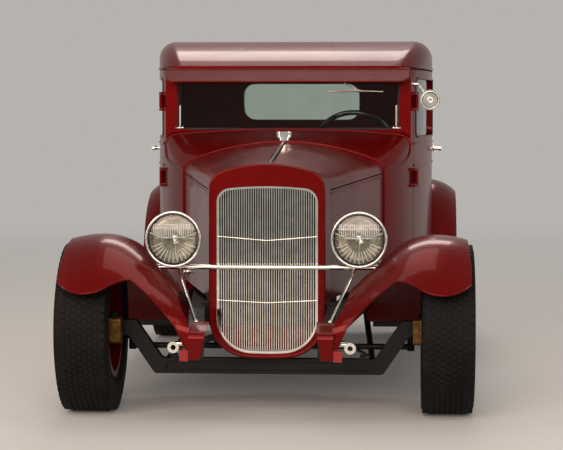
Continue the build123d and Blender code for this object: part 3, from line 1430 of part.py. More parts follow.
# Marker lamps and tow eyes on the horns
EYE_X = 336
EYE_Z = 300
EYE_S = -390
EYE_HOLE_R = 10
with BuildPart() as marker:
    with BuildSketch(Plane.XY.offset(MARKER_LOW)):
        with Locations((MARKER_X, at(MARKER_S))):
            Rectangle(MARKER_W, MARKER_DEPTH)
    extrude(amount=MARKER_H)
    add(rail.part, mode=Mode.SUBTRACT)
with BuildPart() as tow_eye:
    with BuildSketch(Plane.YZ.offset(RAIL_FRONT_X - 10)):
        with Locations((at(EYE_S), EYE_Z + 14)):
            Circle(9)
    extrude(amount=EYE_X - RAIL_FRONT_X + 10)
    with BuildSketch(cross(EYE_S - 10)):
        with Locations((EYE_X, EYE_Z)):
            Circle(22)
    extrude(amount=-20)
    with BuildSketch(cross(EYE_S - 20)):
        with Locations((EYE_X, EYE_Z)):
            Circle(EYE_HOLE_R)
    extrude(amount=-40, mode=Mode.SUBTRACT)
    add(rail.part, mode=Mode.SUBTRACT)
save(both_sides(tow_eye), "tow_eyes")

# Tail lamps on the tail panel
with BuildPart() as tail_lamp:
    with BuildSketch(cross(WHEELBASE + REAR_REACH)):
        with Locations((350, 560)):
            Circle(38)
    extrude(amount=90)
    add(body_out.part, mode=Mode.SUBTRACT)
with BuildPart() as red_lamps:
    for lamp in (marker, tail_lamp):
        add(lamp.part)
        mirror(lamp.part, about=Plane.YZ)
save(red_lamps, "red_lamps")

# Door handle, left: a lever on a short stem
HANDLE_S = DOOR_REAR - 62
HANDLE_Z = 1011
with BuildPart() as handle:
    with BuildSketch(Plane.YZ.offset(half_at(HANDLE_S) - 10)):
        with Locations((at(HANDLE_S), HANDLE_Z)):
            Circle(14)
    extrude(amount=20)
    with BuildSketch(Plane.YZ.offset(half_at(HANDLE_S) - 10)):
        with Locations((at(HANDLE_S), HANDLE_Z)):
            Circle(8)
    extrude(amount=50)
    with BuildSketch(Plane.YZ.offset(half_at(HANDLE_S) + 32)):
        with Locations((at(HANDLE_S - 44), HANDLE_Z)):
            SlotOverall(116, 20)
    extrude(amount=12)
    add(body_out.part, mode=Mode.SUBTRACT)
save(handle, "door_handle_left")
save(other_side(handle), "door_handle_right")

# Round mirror on a bent arm, left pillar
MIRROR_X = 652
MIRROR_Z = 1246
MIRROR_S = 1214
with BuildPart() as mirror_piece:
    with BuildLine() as arm_path:
        FilletPolyline(
            (BODY_FRONT_HALF - 6, at(SCREEN_S + 16), 1318),
            (BODY_FRONT_HALF + 34, at(SCREEN_S + 10), 1318),
            (MIRROR_X, at(MIRROR_S + 14), MIRROR_Z),
            radius=16,
        )
    with BuildSketch(Plane(arm_path.line @ 0, z_dir=arm_path.line % 0)):
        Circle(6)
    sweep(path=arm_path.line)
    with BuildSketch(cross(MIRROR_S)):
        with Locations((MIRROR_X, MIRROR_Z)):
            Circle(46)
    extrude(amount=-18)
    add(windscreen_frame.part, mode=Mode.SUBTRACT)
mirror_solid = mirror_piece.part.solids().sort_by(SortBy.VOLUME)[-1]
with BuildPart() as door_mirror:
    add(mirror_solid)
save(door_mirror, "door_mirror")
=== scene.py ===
from math import atan, cos, pi, radians, sin
import bmesh
import bpy
from mathutils import Matrix, Vector
from mathutils.bvhtree import BVHTree


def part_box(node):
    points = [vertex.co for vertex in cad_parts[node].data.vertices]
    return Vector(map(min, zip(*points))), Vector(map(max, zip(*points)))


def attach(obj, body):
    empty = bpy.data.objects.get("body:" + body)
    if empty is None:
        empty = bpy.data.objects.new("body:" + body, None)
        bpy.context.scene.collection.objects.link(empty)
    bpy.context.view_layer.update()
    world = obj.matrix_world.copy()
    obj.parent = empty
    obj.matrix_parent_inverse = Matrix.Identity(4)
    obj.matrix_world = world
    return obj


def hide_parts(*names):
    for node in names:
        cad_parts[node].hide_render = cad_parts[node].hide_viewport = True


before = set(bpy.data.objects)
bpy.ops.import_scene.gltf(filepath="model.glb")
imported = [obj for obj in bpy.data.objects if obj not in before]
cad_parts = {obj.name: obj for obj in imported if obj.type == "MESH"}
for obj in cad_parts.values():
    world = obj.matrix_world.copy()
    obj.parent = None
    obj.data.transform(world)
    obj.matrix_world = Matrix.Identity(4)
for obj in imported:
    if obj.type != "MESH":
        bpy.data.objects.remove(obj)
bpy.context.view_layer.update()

# Chassis: pressed rails, cross members, axles, springs and rods.
# Steel, brushed over with black satin enamel that has dulled with road dust.
# Riveted and bolted together, so every node keeps its own grain.


def lin(hex_code):
    """sRGB hex to the linear colour that the shaders work in."""
    parts = [int(hex_code[i:i + 2], 16) / 255 for i in (1, 3, 5)]
    return [c / 12.92 if c <= 0.04045 else ((c + 0.055) / 1.055) ** 2.4 for c in parts] + [1.0]


def add_node(tree, kind, inputs=None, settings=None):
    """Adds a node, sets its properties, and fills or links its inputs."""
    made = tree.nodes.new(kind)
    for key, value in (settings or {}).items():
        setattr(made, key, value)
    for key, value in (inputs or {}).items():
        if isinstance(value, bpy.types.NodeSocket):
            tree.links.new(value, made.inputs[key])
        else:
            made.inputs[key].default_value = value
    return made


def finish_of(name, light, dark, grain_mm, rough=(0.3, 0.4), bump_mm=0.0, stretch=(1, 1, 1),
              worn="#000000", wear=0.15, wear_mm=220, **shader):
    """A surface whose colour, gloss and height follow a fine grain and broad patches of wear, in real sizes."""
    mat = bpy.data.materials.new(name)
    mat.use_nodes = True
    tree = mat.node_tree
    tree.nodes.clear()
    spot = add_node(tree, "ShaderNodeTexCoord").outputs["Object"]
    place = add_node(tree, "ShaderNodeMapping", {"Vector": spot, "Scale": stretch}).outputs["Vector"]
    grain = add_node(tree, "ShaderNodeTexNoise", {"Vector": place, "Scale": 1000 / grain_mm, "Detail": 4.0})
    stops = add_node(tree, "ShaderNodeValToRGB", {"Fac": grain.outputs["Fac"]})
    stops.color_ramp.elements[0].position, stops.color_ramp.elements[1].position = 0.3, 0.7
    stops.color_ramp.elements[0].color, stops.color_ramp.elements[1].color = lin(dark), lin(light)
    broad = add_node(tree, "ShaderNodeTexNoise", {"Vector": spot, "Scale": 1000 / wear_mm, "Detail": 3.0})
    patch = add_node(tree, "ShaderNodeMapRange", {
        "Value": broad.outputs["Fac"], "From Min": 0.42, "From Max": 0.68, "To Min": 0.0, "To Max": wear})
    tint = add_node(tree, "ShaderNodeMix", {
        "Factor": patch.outputs["Result"], "A": stops.outputs["Color"], "B": lin(worn)}, {"data_type": "RGBA"})
    gloss = add_node(tree, "ShaderNodeMapRange", {
        "Value": grain.outputs["Fac"], "From Min": 0.3, "From Max": 0.7,
        "To Min": rough[0], "To Max": rough[1]})
    dulled = add_node(tree, "ShaderNodeMath", {
        0: patch.outputs["Result"], 1: 0.25, 2: gloss.outputs["Result"]}, {"operation": "MULTIPLY_ADD"})
    face = add_node(tree, "ShaderNodeBsdfPrincipled", {
        "Base Color": tint.outputs["Result"], "Roughness": dulled.outputs["Value"], **shader})
    if bump_mm:
        relief = add_node(tree, "ShaderNodeBump", {
            "Height": grain.outputs["Fac"], "Distance": bump_mm / 1000, "Strength": 0.6})
        tree.links.new(relief.outputs["Normal"], face.inputs["Normal"])
    add_node(tree, "ShaderNodeOutputMaterial", {"Surface": face.outputs["BSDF"]})
    return mat


def dress(mat, slot, *nodes):
    """Gives CAD nodes their material; the slot is not used."""
    for name in nodes:
        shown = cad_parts[name]
        shown.data.materials.clear()
        shown.data.materials.append(mat)


# Brushed enamel: satin black, with brown road dust in broad patches.
black_enamel = finish_of("black satin enamel", "#0d0d0f", "#060607", 14, (0.32, 0.5), 0.15,
                         worn="#2c251f", wear=0.2, **{"Specular IOR Level": 0.2})
dress(black_enamel, "chassis_paint", "frame_rails", "crossmembers", "front_axle", "knuckle_left",
      "knuckle_right", "tie_rod", "leaf_springs", "radius_rods", "rear_axle", "steering_column", "floor")

# Engine with gearbox and the exhaust.
# Cast iron with a sandy skin; drawn steel pipe, brushed along and slightly heated.
# The block sits on the middle cross member; two rows of bolts hold its top.

# Cast iron: dark and sandy, with brown patches.
cast_iron = finish_of("sand cast iron", "#3a3937", "#232221", 6, (0.55, 0.75), 0.8,
                      worn="#4a3a2c", wear=0.35)
dress(cast_iron, "engine_iron", "engine")
# Exhaust steel: brushed along the pipe, brown where it has been hot.
exhaust_steel = finish_of("drawn exhaust steel", "#a39a8c", "#6d6459", 30, (0.25, 0.45), 0.05,
                          (1, 0.1, 1), worn="#6a4a2c", wear=0.5, Metallic=1.0)
dress(exhaust_steel, "exhaust_steel", "exhaust")
# Zinc plate: pale and finely mottled.
zinc = finish_of("zinc plated steel", "#b9b7b0", "#8d8a82", 4, (0.25, 0.4), 0.1,
                 worn="#5c5348", wear=0.4, Metallic=1.0)


FRONT_AXLE_Y = -1.3715


def station(s):
    """Distance along the car, from millimetres behind the front axle."""
    return FRONT_AXLE_Y + s / 1000


def skin_of(*names):
    """The surface of CAD nodes, for rays that find where a piece lies on them."""
    verts, faces = [], []
    for name in names:
        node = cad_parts[name]
        faces += [tuple(len(verts) + i for i in p.vertices) for p in node.data.polygons]
        verts += [v.co.copy() for v in node.data.vertices]
    return BVHTree.FromPolygons(verts, faces)


def touch(skin, start, way):
    """Where a ray first meets a surface, or None."""
    return skin.ray_cast(Vector(start), Vector(way).normalized())[0]


def node_group(name, sockets):
    """An empty geometry group with named inputs and one geometry output."""
    made = bpy.data.node_groups.new(name, "GeometryNodeTree")
    for label, kind in sockets:
        made.interface.new_socket(label, in_out="INPUT", socket_type=kind)
    made.interface.new_socket("Geometry", in_out="OUTPUT", socket_type="NodeSocketGeometry")
    return made


def close_group(group, geometry, given):
    """Ends a group: a plain mesh in the given material goes to its output."""
    plain = add_node(group, "GeometryNodeRealizeInstances", {"Geometry": geometry})
    coated = add_node(group, "GeometryNodeSetMaterial", {
        "Geometry": plain.outputs["Geometry"], "Material": given["Material"]})
    add_node(group, "NodeGroupOutput", {"Geometry": coated.outputs["Geometry"]})


def keep(obj, body):
    """The piece moves with a body."""
    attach(obj, body)
    return obj


def repeated(name, group, where, body, slot, start=None, **values):
    """Runs a group once and keeps what it made as a plain mesh at its place."""
    obj = bpy.data.objects.new(name, start or bpy.data.meshes.new(name))
    bpy.context.scene.collection.objects.link(obj)
    mod = obj.modifiers.new(name, "NODES")
    mod.node_group = group
    for item in group.interface.items_tree:
        if item.in_out == "INPUT" and item.socket_type != "NodeSocketGeometry":
            mod[item.identifier] = values[item.name.replace(" ", "_").lower()]
    depsgraph = bpy.context.evaluated_depsgraph_get()
    solid = bpy.data.meshes.new_from_object(obj.evaluated_get(depsgraph))
    obj.modifiers.clear()
    obj.data = solid
    solid.transform(where)
    return keep(obj, body)


heads = node_group("bolt heads", [
    ("Geometry", "NodeSocketGeometry"), ("Radius", "NodeSocketFloat"), ("Height", "NodeSocketFloat"),
    ("Material", "NodeSocketMaterial")])
given = add_node(heads, "NodeGroupInput").outputs
wide = add_node(heads, "ShaderNodeMath", {0: given["Radius"], 1: 1.45}, {"operation": "MULTIPLY"})
hexagon = add_node(heads, "GeometryNodeMeshCylinder", {
    "Vertices": 6, "Radius": given["Radius"], "Depth": given["Height"]})
rise = add_node(heads, "ShaderNodeCombineXYZ", {
    "Z": add_node(heads, "ShaderNodeMath", {
        0: given["Height"], 1: 0.5}, {"operation": "MULTIPLY"}).outputs[0]})
lifted = add_node(heads, "GeometryNodeTransform", {
    "Geometry": hexagon.outputs["Mesh"], "Translation": rise.outputs[0]})
washer = add_node(heads, "GeometryNodeMeshCylinder", {
    "Vertices": 14, "Radius": wide.outputs[0], "Depth": 0.002})
pair = add_node(heads, "GeometryNodeJoinGeometry", {"Geometry": lifted.outputs["Geometry"]})
heads.links.new(washer.outputs["Mesh"], pair.inputs["Geometry"])
set_out = add_node(heads, "GeometryNodeInstanceOnPoints", {
    "Points": given["Geometry"], "Instance": pair.outputs["Geometry"]})
close_group(heads, set_out.outputs["Instances"], given)


def bolts(name, points, where, radius, height, mat, body, slot):
    """Hexagon heads with washers at points, standing along the third axis of a place."""
    spots = bpy.data.meshes.new(name)
    spots.from_pydata([tuple(p) for p in points], [], [])
    return repeated(name, heads, where, body, slot, spots, radius=radius, height=height, material=mat)


block_top = skin_of("engine")
head_spots = [touch(block_top, (x, station(s), 1.2), (0, 0, -1))
              for x in (-0.1, 0.1) for s in range(290, 860, 80)]
bolts("head_bolts", [p for p in head_spots if p], Matrix.Identity(4), 0.011, 0.012, zinc, "chassis",
      "engine_iron")

# Brake calipers.
# Cast aluminium with gold anodised skin, seen inboard of the front tyres.
# Bolted to the knuckles ahead of the axle.

# Anodised gold: dull and darkened by brake dust.
gold_anodised = finish_of("gold anodised casting", "#7a5a26", "#46320f", 9, (0.35, 0.5), 0.2,
                          worn="#241a0a", wear=0.6, wear_mm=30, Metallic=0.8)
dress(gold_anodised, "caliper_gold", "caliper_left", "caliper_right")

# Tyres: moulded rubber, matt, with a block tread in close ribs.
# The carcass is the turned node; the tread blocks are rings set round it.
# Each ring turns with its wheel.

# Tyre rubber: matt black with faint dust.
tyre_rubber = finish_of("moulded tyre rubber", "#100f0f", "#080808", 5, (0.62, 0.8), 0.5,
                        worn="#2e2a25", wear=0.2, wear_mm=90, **{"Specular IOR Level": 0.15})
dress(tyre_rubber, "tyre_rubber", "tyre_front_left", "tyre_front_right", "tyre_rear_left",
      "tyre_rear_right")

ring = node_group("ring of blocks", [
    ("Count", "NodeSocketInt"), ("Rows", "NodeSocketInt"), ("Radius", "NodeSocketFloat"),
    ("Row Pitch", "NodeSocketFloat"), ("Stagger", "NodeSocketFloat"), ("Skew", "NodeSocketFloat"),
    ("Block", "NodeSocketVector"), ("Material", "NodeSocketMaterial")])
given = add_node(ring, "NodeGroupInput").outputs
index = add_node(ring, "GeometryNodeInputIndex").outputs["Index"]
step = add_node(ring, "ShaderNodeMath", {0: 2 * pi, 1: given["Count"]}, {"operation": "DIVIDE"})
turn = add_node(ring, "ShaderNodeMath", {0: index, 1: step.outputs[0]}, {"operation": "MULTIPLY"})
facing = add_node(ring, "ShaderNodeCombineXYZ", {"X": given["Skew"], "Z": turn.outputs[0]})
circle = add_node(ring, "GeometryNodeMeshCircle", {"Vertices": given["Count"], "Radius": given["Radius"]})
block = add_node(ring, "GeometryNodeMeshCube", {"Size": given["Block"]})
one_row = add_node(ring, "GeometryNodeInstanceOnPoints", {
    "Points": circle.outputs["Mesh"], "Instance": block.outputs["Mesh"], "Rotation": facing.outputs[0]})
shift = add_node(ring, "ShaderNodeMath", {0: index, 1: given["Stagger"]}, {"operation": "MULTIPLY"})
lean = add_node(ring, "ShaderNodeCombineXYZ", {"Z": shift.outputs[0]})
pitch = add_node(ring, "ShaderNodeCombineXYZ", {"Z": given["Row Pitch"]})
line = add_node(ring, "GeometryNodeMeshLine", {"Count": given["Rows"], "Offset": pitch.outputs[0]})
rows = add_node(ring, "GeometryNodeInstanceOnPoints", {
    "Points": line.outputs["Mesh"], "Instance": one_row.outputs["Instances"], "Rotation": lean.outputs[0]})
close_group(ring, rows.outputs["Instances"], given)

SIDES = ((1, "left"), (-1, "right"))
WHEELS = [(end, side, name) for end in ("front", "rear") for side, name in SIDES]
for end, side, name in WHEELS:
    low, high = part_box(f"tyre_{end}_{name}")
    centre = (low + high) / 2
    radius = (high.z - low.z) / 2
    rib = (high.x - low.x - 0.058) / 7
    repeated(
        f"tread_{end}_{name}", ring,
        Matrix.Translation(centre - Vector((3 * rib, 0, 0))) @ Matrix.Rotation(pi / 2, 4, "Y"),
        f"wheel_{end}_{name}", "tyre_rubber",
        count=84, rows=7, radius=radius + 0.0005, row_pitch=rib, stagger=0.036, skew=0.3,
        block=(0.006, 0.0205, rib - 0.004), material=tyre_rubber)
    for edge in (-1, 1):
        repeated(
            f"shoulder_{end}_{name}_{'in' if edge == -side else 'out'}", ring,
            Matrix.Translation(centre + Vector((edge * (high.x - low.x - 0.030) / 2, 0, 0)))
            @ Matrix.Rotation(edge * pi / 2, 4, "Y"),
            f"wheel_{end}_{name}", "tyre_rubber",
            count=60, rows=1, radius=radius - 0.006, row_pitch=0.0, stagger=0.0, skew=0.0,
            block=(0.010, 0.022, 0.020), material=tyre_rubber)

# Wheels: pressed steel, painted as the body, with a bright trim ring and a domed cap.
# Hidden in the photo behind the tyres, so they follow the usual make of the type.
# The ring clips to the rim's edge and the cap over the hub; each turns with its wheel.

# Candy enamel: flakes under a tinted coat and a clear one; its sheen stays red at the edges.
# The flakes are drawn coarser than real ones so that they show.
body_paint = finish_of("candy burgundy enamel", "#760807", "#4e0404", 2.5, (0.2, 0.28), 0.0,
                       worn="#3a0302", wear=0.35, wear_mm=600, Metallic=0.3,
                       **{"Specular IOR Level": 0.15, "Specular Tint": lin("#9c1a14"), "Coat Weight": 0.2,
                          "Coat Roughness": 0.02})
dress(body_paint, "wheel_paint", "wheel_front_left", "wheel_front_right", "wheel_rear_left",
      "wheel_rear_right")
# Chrome: mirror bright with a slight warm cast and faint clouding from polishing.
chrome = finish_of("polished chrome plate", "#f1eee6", "#dbd7cc", 40, (0.03, 0.09), 0.0,
                   worn="#a89f8c", wear=0.25, wear_mm=60, Metallic=1.0)


def solid_of(name, verts, faces, mat, body, smooth=True):
    """A mesh piece in the car's frame that rides on a body."""
    mesh = bpy.data.meshes.new(name)
    mesh.from_pydata([tuple(v) for v in verts], [], faces)
    work = bmesh.new()
    work.from_mesh(mesh)
    bmesh.ops.remove_doubles(work, verts=work.verts, dist=1e-6)
    bmesh.ops.recalc_face_normals(work, faces=work.faces)
    work.to_mesh(mesh)
    work.free()
    for poly in mesh.polygons:
        poly.use_smooth = smooth
    mesh.materials.append(mat)
    obj = bpy.data.objects.new(name, mesh)
    bpy.context.scene.collection.objects.link(obj)
    return keep(obj, body)


def turned(name, profile, where, mat, body, steps=48):
    """A piece turned from (along, radius) points about its own X, then placed."""
    verts, faces = [], []
    for i in range(steps):
        a = 2 * pi * i / steps
        verts += [where @ Vector((x, r * cos(a), r * sin(a))) for x, r in profile]
    n = len(profile)
    for i in range(steps):
        for j in range(n - 1):
            a, b = i * n + j, (i + 1) % steps * n + j
            faces.append((a, a + 1, b + 1, b))
    return solid_of(name, verts, faces, mat, body)


def facing_x(x, y, z, side):
    """A place whose first axis points out of the car on one side."""
    return Matrix.Translation((x, y, z)) @ Matrix.Rotation(0 if side > 0 else pi, 4, "Z")


for end, side, name in WHEELS:
    low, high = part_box(f"wheel_{end}_{name}")
    mid = (low + high) / 2
    hub = facing_x(high.x if side > 0 else low.x, mid.y, mid.z, side)
    cap = [(0.001, 0.0), (0.0005, 0.02), (-0.004, 0.04), (-0.012, 0.06), (-0.024, 0.075),
           (-0.038, 0.081), (-0.04, 0.078), (-0.026, 0.072), (-0.014, 0.057), (-0.0065, 0.038),
           (-0.002, 0.019), (-0.0015, 0.0)]
    turned(f"hub_cap_{end}_{name}", cap, hub, chrome, f"wheel_{end}_{name}")
    trim = [(0.0, 0.2005), (0.004, 0.197), (0.003, 0.186), (-0.007, 0.172), (-0.019, 0.164),
            (-0.021, 0.162), (-0.011, 0.170), (-0.001, 0.184), (0.0, 0.2005)]
    turned(f"trim_ring_{end}_{name}", trim, hub, chrome, f"wheel_{end}_{name}")

# Grille shell, bars and radiator.
# Pressed steel shell in body paint; thin bright bars; black finned core with flat tubes behind them.
# The insert drops into the shell from the front; a red apron closes the gap below the core.
dress(body_paint, "body_paint", "grille_shell")
dress(chrome, "bright_plate", "grille_insert")

# Core enamel: rough black with grey dust.
core_black = finish_of("radiator core enamel", "#1b1a18", "#0a0a0a", 3, (0.5, 0.7), 0.6,
                       worn="#4a4236", wear=0.4, wear_mm=40)
dress(core_black, "chassis_paint", "radiator")

slats = node_group("row of slats", [
    ("Count", "NodeSocketInt"), ("Pitch", "NodeSocketVector"), ("Slat", "NodeSocketVector"),
    ("Material", "NodeSocketMaterial")])
given = add_node(slats, "NodeGroupInput").outputs
line = add_node(slats, "GeometryNodeMeshLine", {"Count": given["Count"], "Offset": given["Pitch"]})
bar = add_node(slats, "GeometryNodeMeshCube", {"Size": given["Slat"]})
laid = add_node(slats, "GeometryNodeInstanceOnPoints", {
    "Points": line.outputs["Mesh"], "Instance": bar.outputs["Mesh"]})
close_group(slats, laid.outputs["Instances"], given)

# Fin steel: dark steel, darkened further as painted shade of the recess behind the bright bars; darker still in
# small patches.
shaded_fin_steel = finish_of("dusty fin steel", "#221f1c", "#12100e", 5, (0.4, 0.6), 0.1,
                      worn="#0e0d0c", wear=0.5, wear_mm=30, Metallic=0.4)
repeated("core_tubes", slats, Matrix.Translation((-0.176, station(-66.5), 0.595)), "chassis",
         "chassis_paint", count=33, pitch=(0.011, 0, 0), slat=(0.0022, 0.005, 0.50), material=core_black)
repeated("core_fins", slats, Matrix.Translation((0, station(-66), 0.352)), "chassis", "chassis_paint",
         count=82, pitch=(0, 0, 0.006), slat=(0.368, 0.003, 0.0012), material=shaded_fin_steel)
apron = [(-0.184, 0.345), (-0.184, 0.325), (-0.17, 0.292), (-0.14, 0.272), (-0.09, 0.259), (0, 0.254),
         (0.09, 0.259), (0.14, 0.272), (0.17, 0.292), (0.184, 0.325), (0.184, 0.345), (0, 0.345)]
n = len(apron)
solid_of("grille_apron",
         [(x, station(s), z) for s in (-68, -64) for x, z in apron],
         [tuple(range(n - 1, -1, -1)), tuple(range(n, 2 * n))]
         + [(i, (i + 1) % n, n + (i + 1) % n, n + i) for i in range(n)],
         body_paint, "chassis", False)


def plate(name, x0, x1, s0, s1, z0, z1, mat, slot):
    """A flat upright plate on the chassis, between two stations."""
    outline = ((x0, z0), (x1, z0), (x1, z1), (x0, z1))
    corners = [(x, station(s), z) for s in (s0, s1) for x, z in outline]
    faces = [(3, 2, 1, 0), (4, 5, 6, 7), (0, 1, 5, 4), (1, 2, 6, 5), (2, 3, 7, 6), (3, 0, 4, 7)]
    return solid_of(name, corners, faces, mat, "chassis", False)


plate("core_shroud", -0.186, 0.186, -64.5, -60, 0.335, 0.46, core_black, "chassis_paint")
plate("core_header", -0.150, 0.150, -64.5, -60, 0.840, 0.893, core_black, "chassis_paint")

# Headlamps on the cross bar, with fluted lenses.
# Spun brass, chrome plated, with a silvered bowl and a bulb; the pressed glass has ribs that spread the beam.
# Bolted to the bar in front of the shell; two stays run down to the frame horns and end in ball feet.
dress(chrome, "bright_plate", "headlamp_shells", "headlamp_bar", "tow_eyes", "filler_cap", "door_mirror",
      "door_handle_left", "door_handle_right")

# Lamp glass: clear, with a faint upright ripple.
lamp_glass = finish_of("pressed lamp glass", "#ffffff", "#eef1ee", 8, (0.02, 0.06), 0.3, (1, 1, 0.1),
                       worn="#dfe3d8", wear=0.2, **{"Transmission Weight": 1.0, "IOR": 1.45})
dress(lamp_glass, "lamp_glass", "headlamp_lenses")
# Ribs: thicker glass that catches the light.
rib_glass = finish_of("ribbed lamp glass", "#ffffff", "#e9ece6", 5, (0.04, 0.1), 0.1,
                      worn="#cfd3c8", wear=0.3, **{"Transmission Weight": 0.45, "IOR": 1.5, "Coat Weight": 0.6})
# Silvered bowl: bright, clouded yellow in places.
silvered = finish_of("silvered lamp bowl", "#f0ede2", "#d9d5c6", 20, (0.06, 0.14), 0.0,
                     worn="#a8a28e", wear=0.5, wear_mm=45, Metallic=1.0)
# Seal rubber: a dull dark line round glass.
seal_rubber = finish_of("black seal rubber", "#141413", "#090909", 4, (0.5, 0.65), 0.2,
                        worn="#2a2825", wear=0.3)

beads = node_group("bead along a path", [
    ("Geometry", "NodeSocketGeometry"), ("Radius", "NodeSocketFloat"), ("Sides", "NodeSocketInt"),
    ("Material", "NodeSocketMaterial")])
given = add_node(beads, "NodeGroupInput").outputs
path = add_node(beads, "GeometryNodeMeshToCurve", {"Mesh": given["Geometry"]})
section = add_node(beads, "GeometryNodeCurvePrimitiveCircle", {
    "Resolution": given["Sides"], "Radius": given["Radius"]})
tube = add_node(beads, "GeometryNodeCurveToMesh", {
    "Curve": path.outputs["Curve"], "Profile Curve": section.outputs["Curve"], "Fill Caps": True})
smooth = add_node(beads, "GeometryNodeSetShadeSmooth", {"Geometry": tube.outputs["Mesh"]})
close_group(beads, smooth.outputs["Geometry"], given)


def bead(name, paths, radius, mat, body, slot, sides=8, closed=False):
    """Round bead or rod along paths of points in the car's frame."""
    verts, edges = [], []
    for path in paths:
        first = len(verts)
        verts += [tuple(p) for p in path if p is not None]
        edges += [(i, i + 1) for i in range(first, len(verts) - 1)]
        if closed:
            edges.append((len(verts) - 1, first))
    trail = bpy.data.meshes.new(name)
    trail.from_pydata(verts, edges, [])
    return repeated(name, beads, Matrix.Identity(4), body, slot, trail,
                    radius=radius, sides=sides, material=mat)


def arc(a, m, b, count):
    """Points on the circle through three points of a plane, from the first to the last."""
    d = 2 * (a[0] * (m[1] - b[1]) + m[0] * (b[1] - a[1]) + b[0] * (a[1] - m[1]))
    qa, qm, qb = (p[0] ** 2 + p[1] ** 2 for p in (a, m, b))
    cx = (qa * (m[1] - b[1]) + qm * (b[1] - a[1]) + qb * (a[1] - m[1])) / d
    cy = (qa * (b[0] - m[0]) + qm * (a[0] - b[0]) + qb * (m[0] - a[0])) / d
    first, mid, last = (Vector((p[0] - cx, p[1] - cy)) for p in (a, m, b))
    sweep = first.angle_signed(mid) + mid.angle_signed(last)
    made = []
    for i in range(count + 1):
        turn = Matrix.Rotation(-sweep * i / count, 2) @ first
        made.append((cx + turn.x, cy + turn.y))
    return made


chevrons = [[(x, station(-84), z) for x, z in ((-0.197, top), (0.0, top - drop), (0.197, top))]
            for top, drop in ((0.703, 0.016), (0.451, 0.010))]
bead("grille_chevrons", chevrons, 0.0021, chrome, "chassis", "bright_plate")
LAMP_X, LAMP_Z, LAMP_FRONT = 0.363, 0.696, -166
lens_skin = skin_of("headlamp_lenses")


def on_lens(side, x, z):
    """A point on the front of a lens, from its own centre."""
    return touch(lens_skin, (side * LAMP_X + x, -3.0, LAMP_Z + z), (0, 1, 0))


def lamp_ring(side, r, s):
    """Points round the axis of a lamp."""
    turns = (2 * pi * i / 64 for i in range(64))
    return [Vector((side * LAMP_X + r * cos(a), station(s), LAMP_Z + r * sin(a))) for a in turns]


for side, name in SIDES:
    front = Matrix.Translation((side * LAMP_X, station(LAMP_FRONT), LAMP_Z)) @ Matrix.Rotation(pi / 2, 4, "Z")
    bowl = [(0.020, 0.094), (0.060, 0.088), (0.095, 0.073), (0.122, 0.050), (0.138, 0.026), (0.144, 0.0)]
    turned(f"lamp_bowl_{name}", bowl, front, silvered, "chassis")
    bulb = [(0.142, 0.012), (0.105, 0.012), (0.104, 0.009), (0.096, 0.012), (0.086, 0.014),
            (0.076, 0.012), (0.070, 0.007), (0.068, 0.0)]
    turned(f"lamp_bulb_{name}", bulb, front, rib_glass, "chassis", 24)
    shield = [(0.060, 0.0), (0.061, 0.008), (0.066, 0.017), (0.076, 0.024), (0.078, 0.024),
              (0.068, 0.016), (0.063, 0.008), (0.062, 0.0)]
    turned(f"bulb_shield_{name}", shield, front, chrome, "chassis", 32)
    struts = [[(side * LAMP_X + reach * x, station(LAMP_FRONT + s), LAMP_Z + reach * z)
               for reach, s in ((1, 77), (3.2, 80))] for x, z in ((0.023, 0.0), (-0.023, 0.0), (0.0, -0.023))]
    bead(f"shield_struts_{name}", struts, 0.0015, chrome, "chassis", "bright_plate", 6)
    flutes = []
    for i in range(-9, 10):
        x = i * 0.0085
        top = min(0.058, (0.0092 - x * x) ** 0.5 if x * x < 0.0092 else 0.0)
        foot = 0.010 + 2.6 * x * x
        if top - foot > 0.006:
            flutes.append([on_lens(side, x, foot + (top - foot) * k / 4) for k in range(5)])
    for i in range(13):
        a = radians(200 + 140 * i / 12)
        flutes.append([on_lens(side, r * cos(a), r * sin(a)) for r in (0.046, 0.062, 0.078, 0.091)])
    bead(f"lens_flutes_{name}", flutes, 0.0017, rib_glass, "chassis", "lamp_glass", 6)
    bars = [[on_lens(side, x * 0.0755 / 8, 0.058) for x in range(-8, 9)],
            [on_lens(side, x * 0.0868 / 8, 0.040) for x in range(-8, 9)],
            [on_lens(side, x, z) for x, z in arc((-0.092, 0.026), (0.0, 0.006), (0.092, 0.026), 16)]]
    bead(f"lens_bars_{name}", bars, 0.0016, rib_glass, "chassis", "lamp_glass", 6)
    bead(f"lens_gasket_{name}", [lamp_ring(side, 0.0985, LAMP_FRONT - 0.5)], 0.0022, seal_rubber, "chassis",
         "board_rubber", 8, True)
    bead(f"lamp_rim_{name}", [lamp_ring(side, 0.1055, LAMP_FRONT + 0.5)], 0.0042, chrome, "chassis",
         "bright_plate", 10, True)
    upright = Matrix.Translation((side * 0.2585, station(-302), 0.372)) @ Matrix.Rotation(-pi / 2, 4, "Y")
    ball = [(0.0, 0.0), (0.0, 0.013), (0.004, 0.013), (0.005, 0.008), (0.009, 0.0105), (0.015, 0.0115),
            (0.021, 0.0095), (0.025, 0.006), (0.026, 0.0)]
    turned(f"stay_foot_{name}", ball, upright, chrome, "chassis", 24)

# Front fenders, with a wire rolled into every free edge.
# Pressed steel in deep candy burgundy under clear coat, polished.
# Bolted to the frame rails and running boards; the horn covers are part of the pressing.
dress(body_paint, "body_paint", "front_fenders", "rear_fenders", "splash_aprons")
fender_skin = skin_of("front_fenders")
# Arcs of the front lip: start, middle and end, across the car and up.
LIP = [((0.816, 0.5575), (0.716, 0.503), (0.600, 0.524)),
       ((0.600, 0.524), (0.556, 0.544), (0.512, 0.551)),
       ((0.512, 0.551), (0.406, 0.470), (0.324, 0.384)),
       ((0.324, 0.384), (0.299, 0.330), (0.288, 0.302))]
FRONT_AXLE, REAR_AXLE, SKIRT_X = (0, 0.334), (2629, 0.360), 0.772


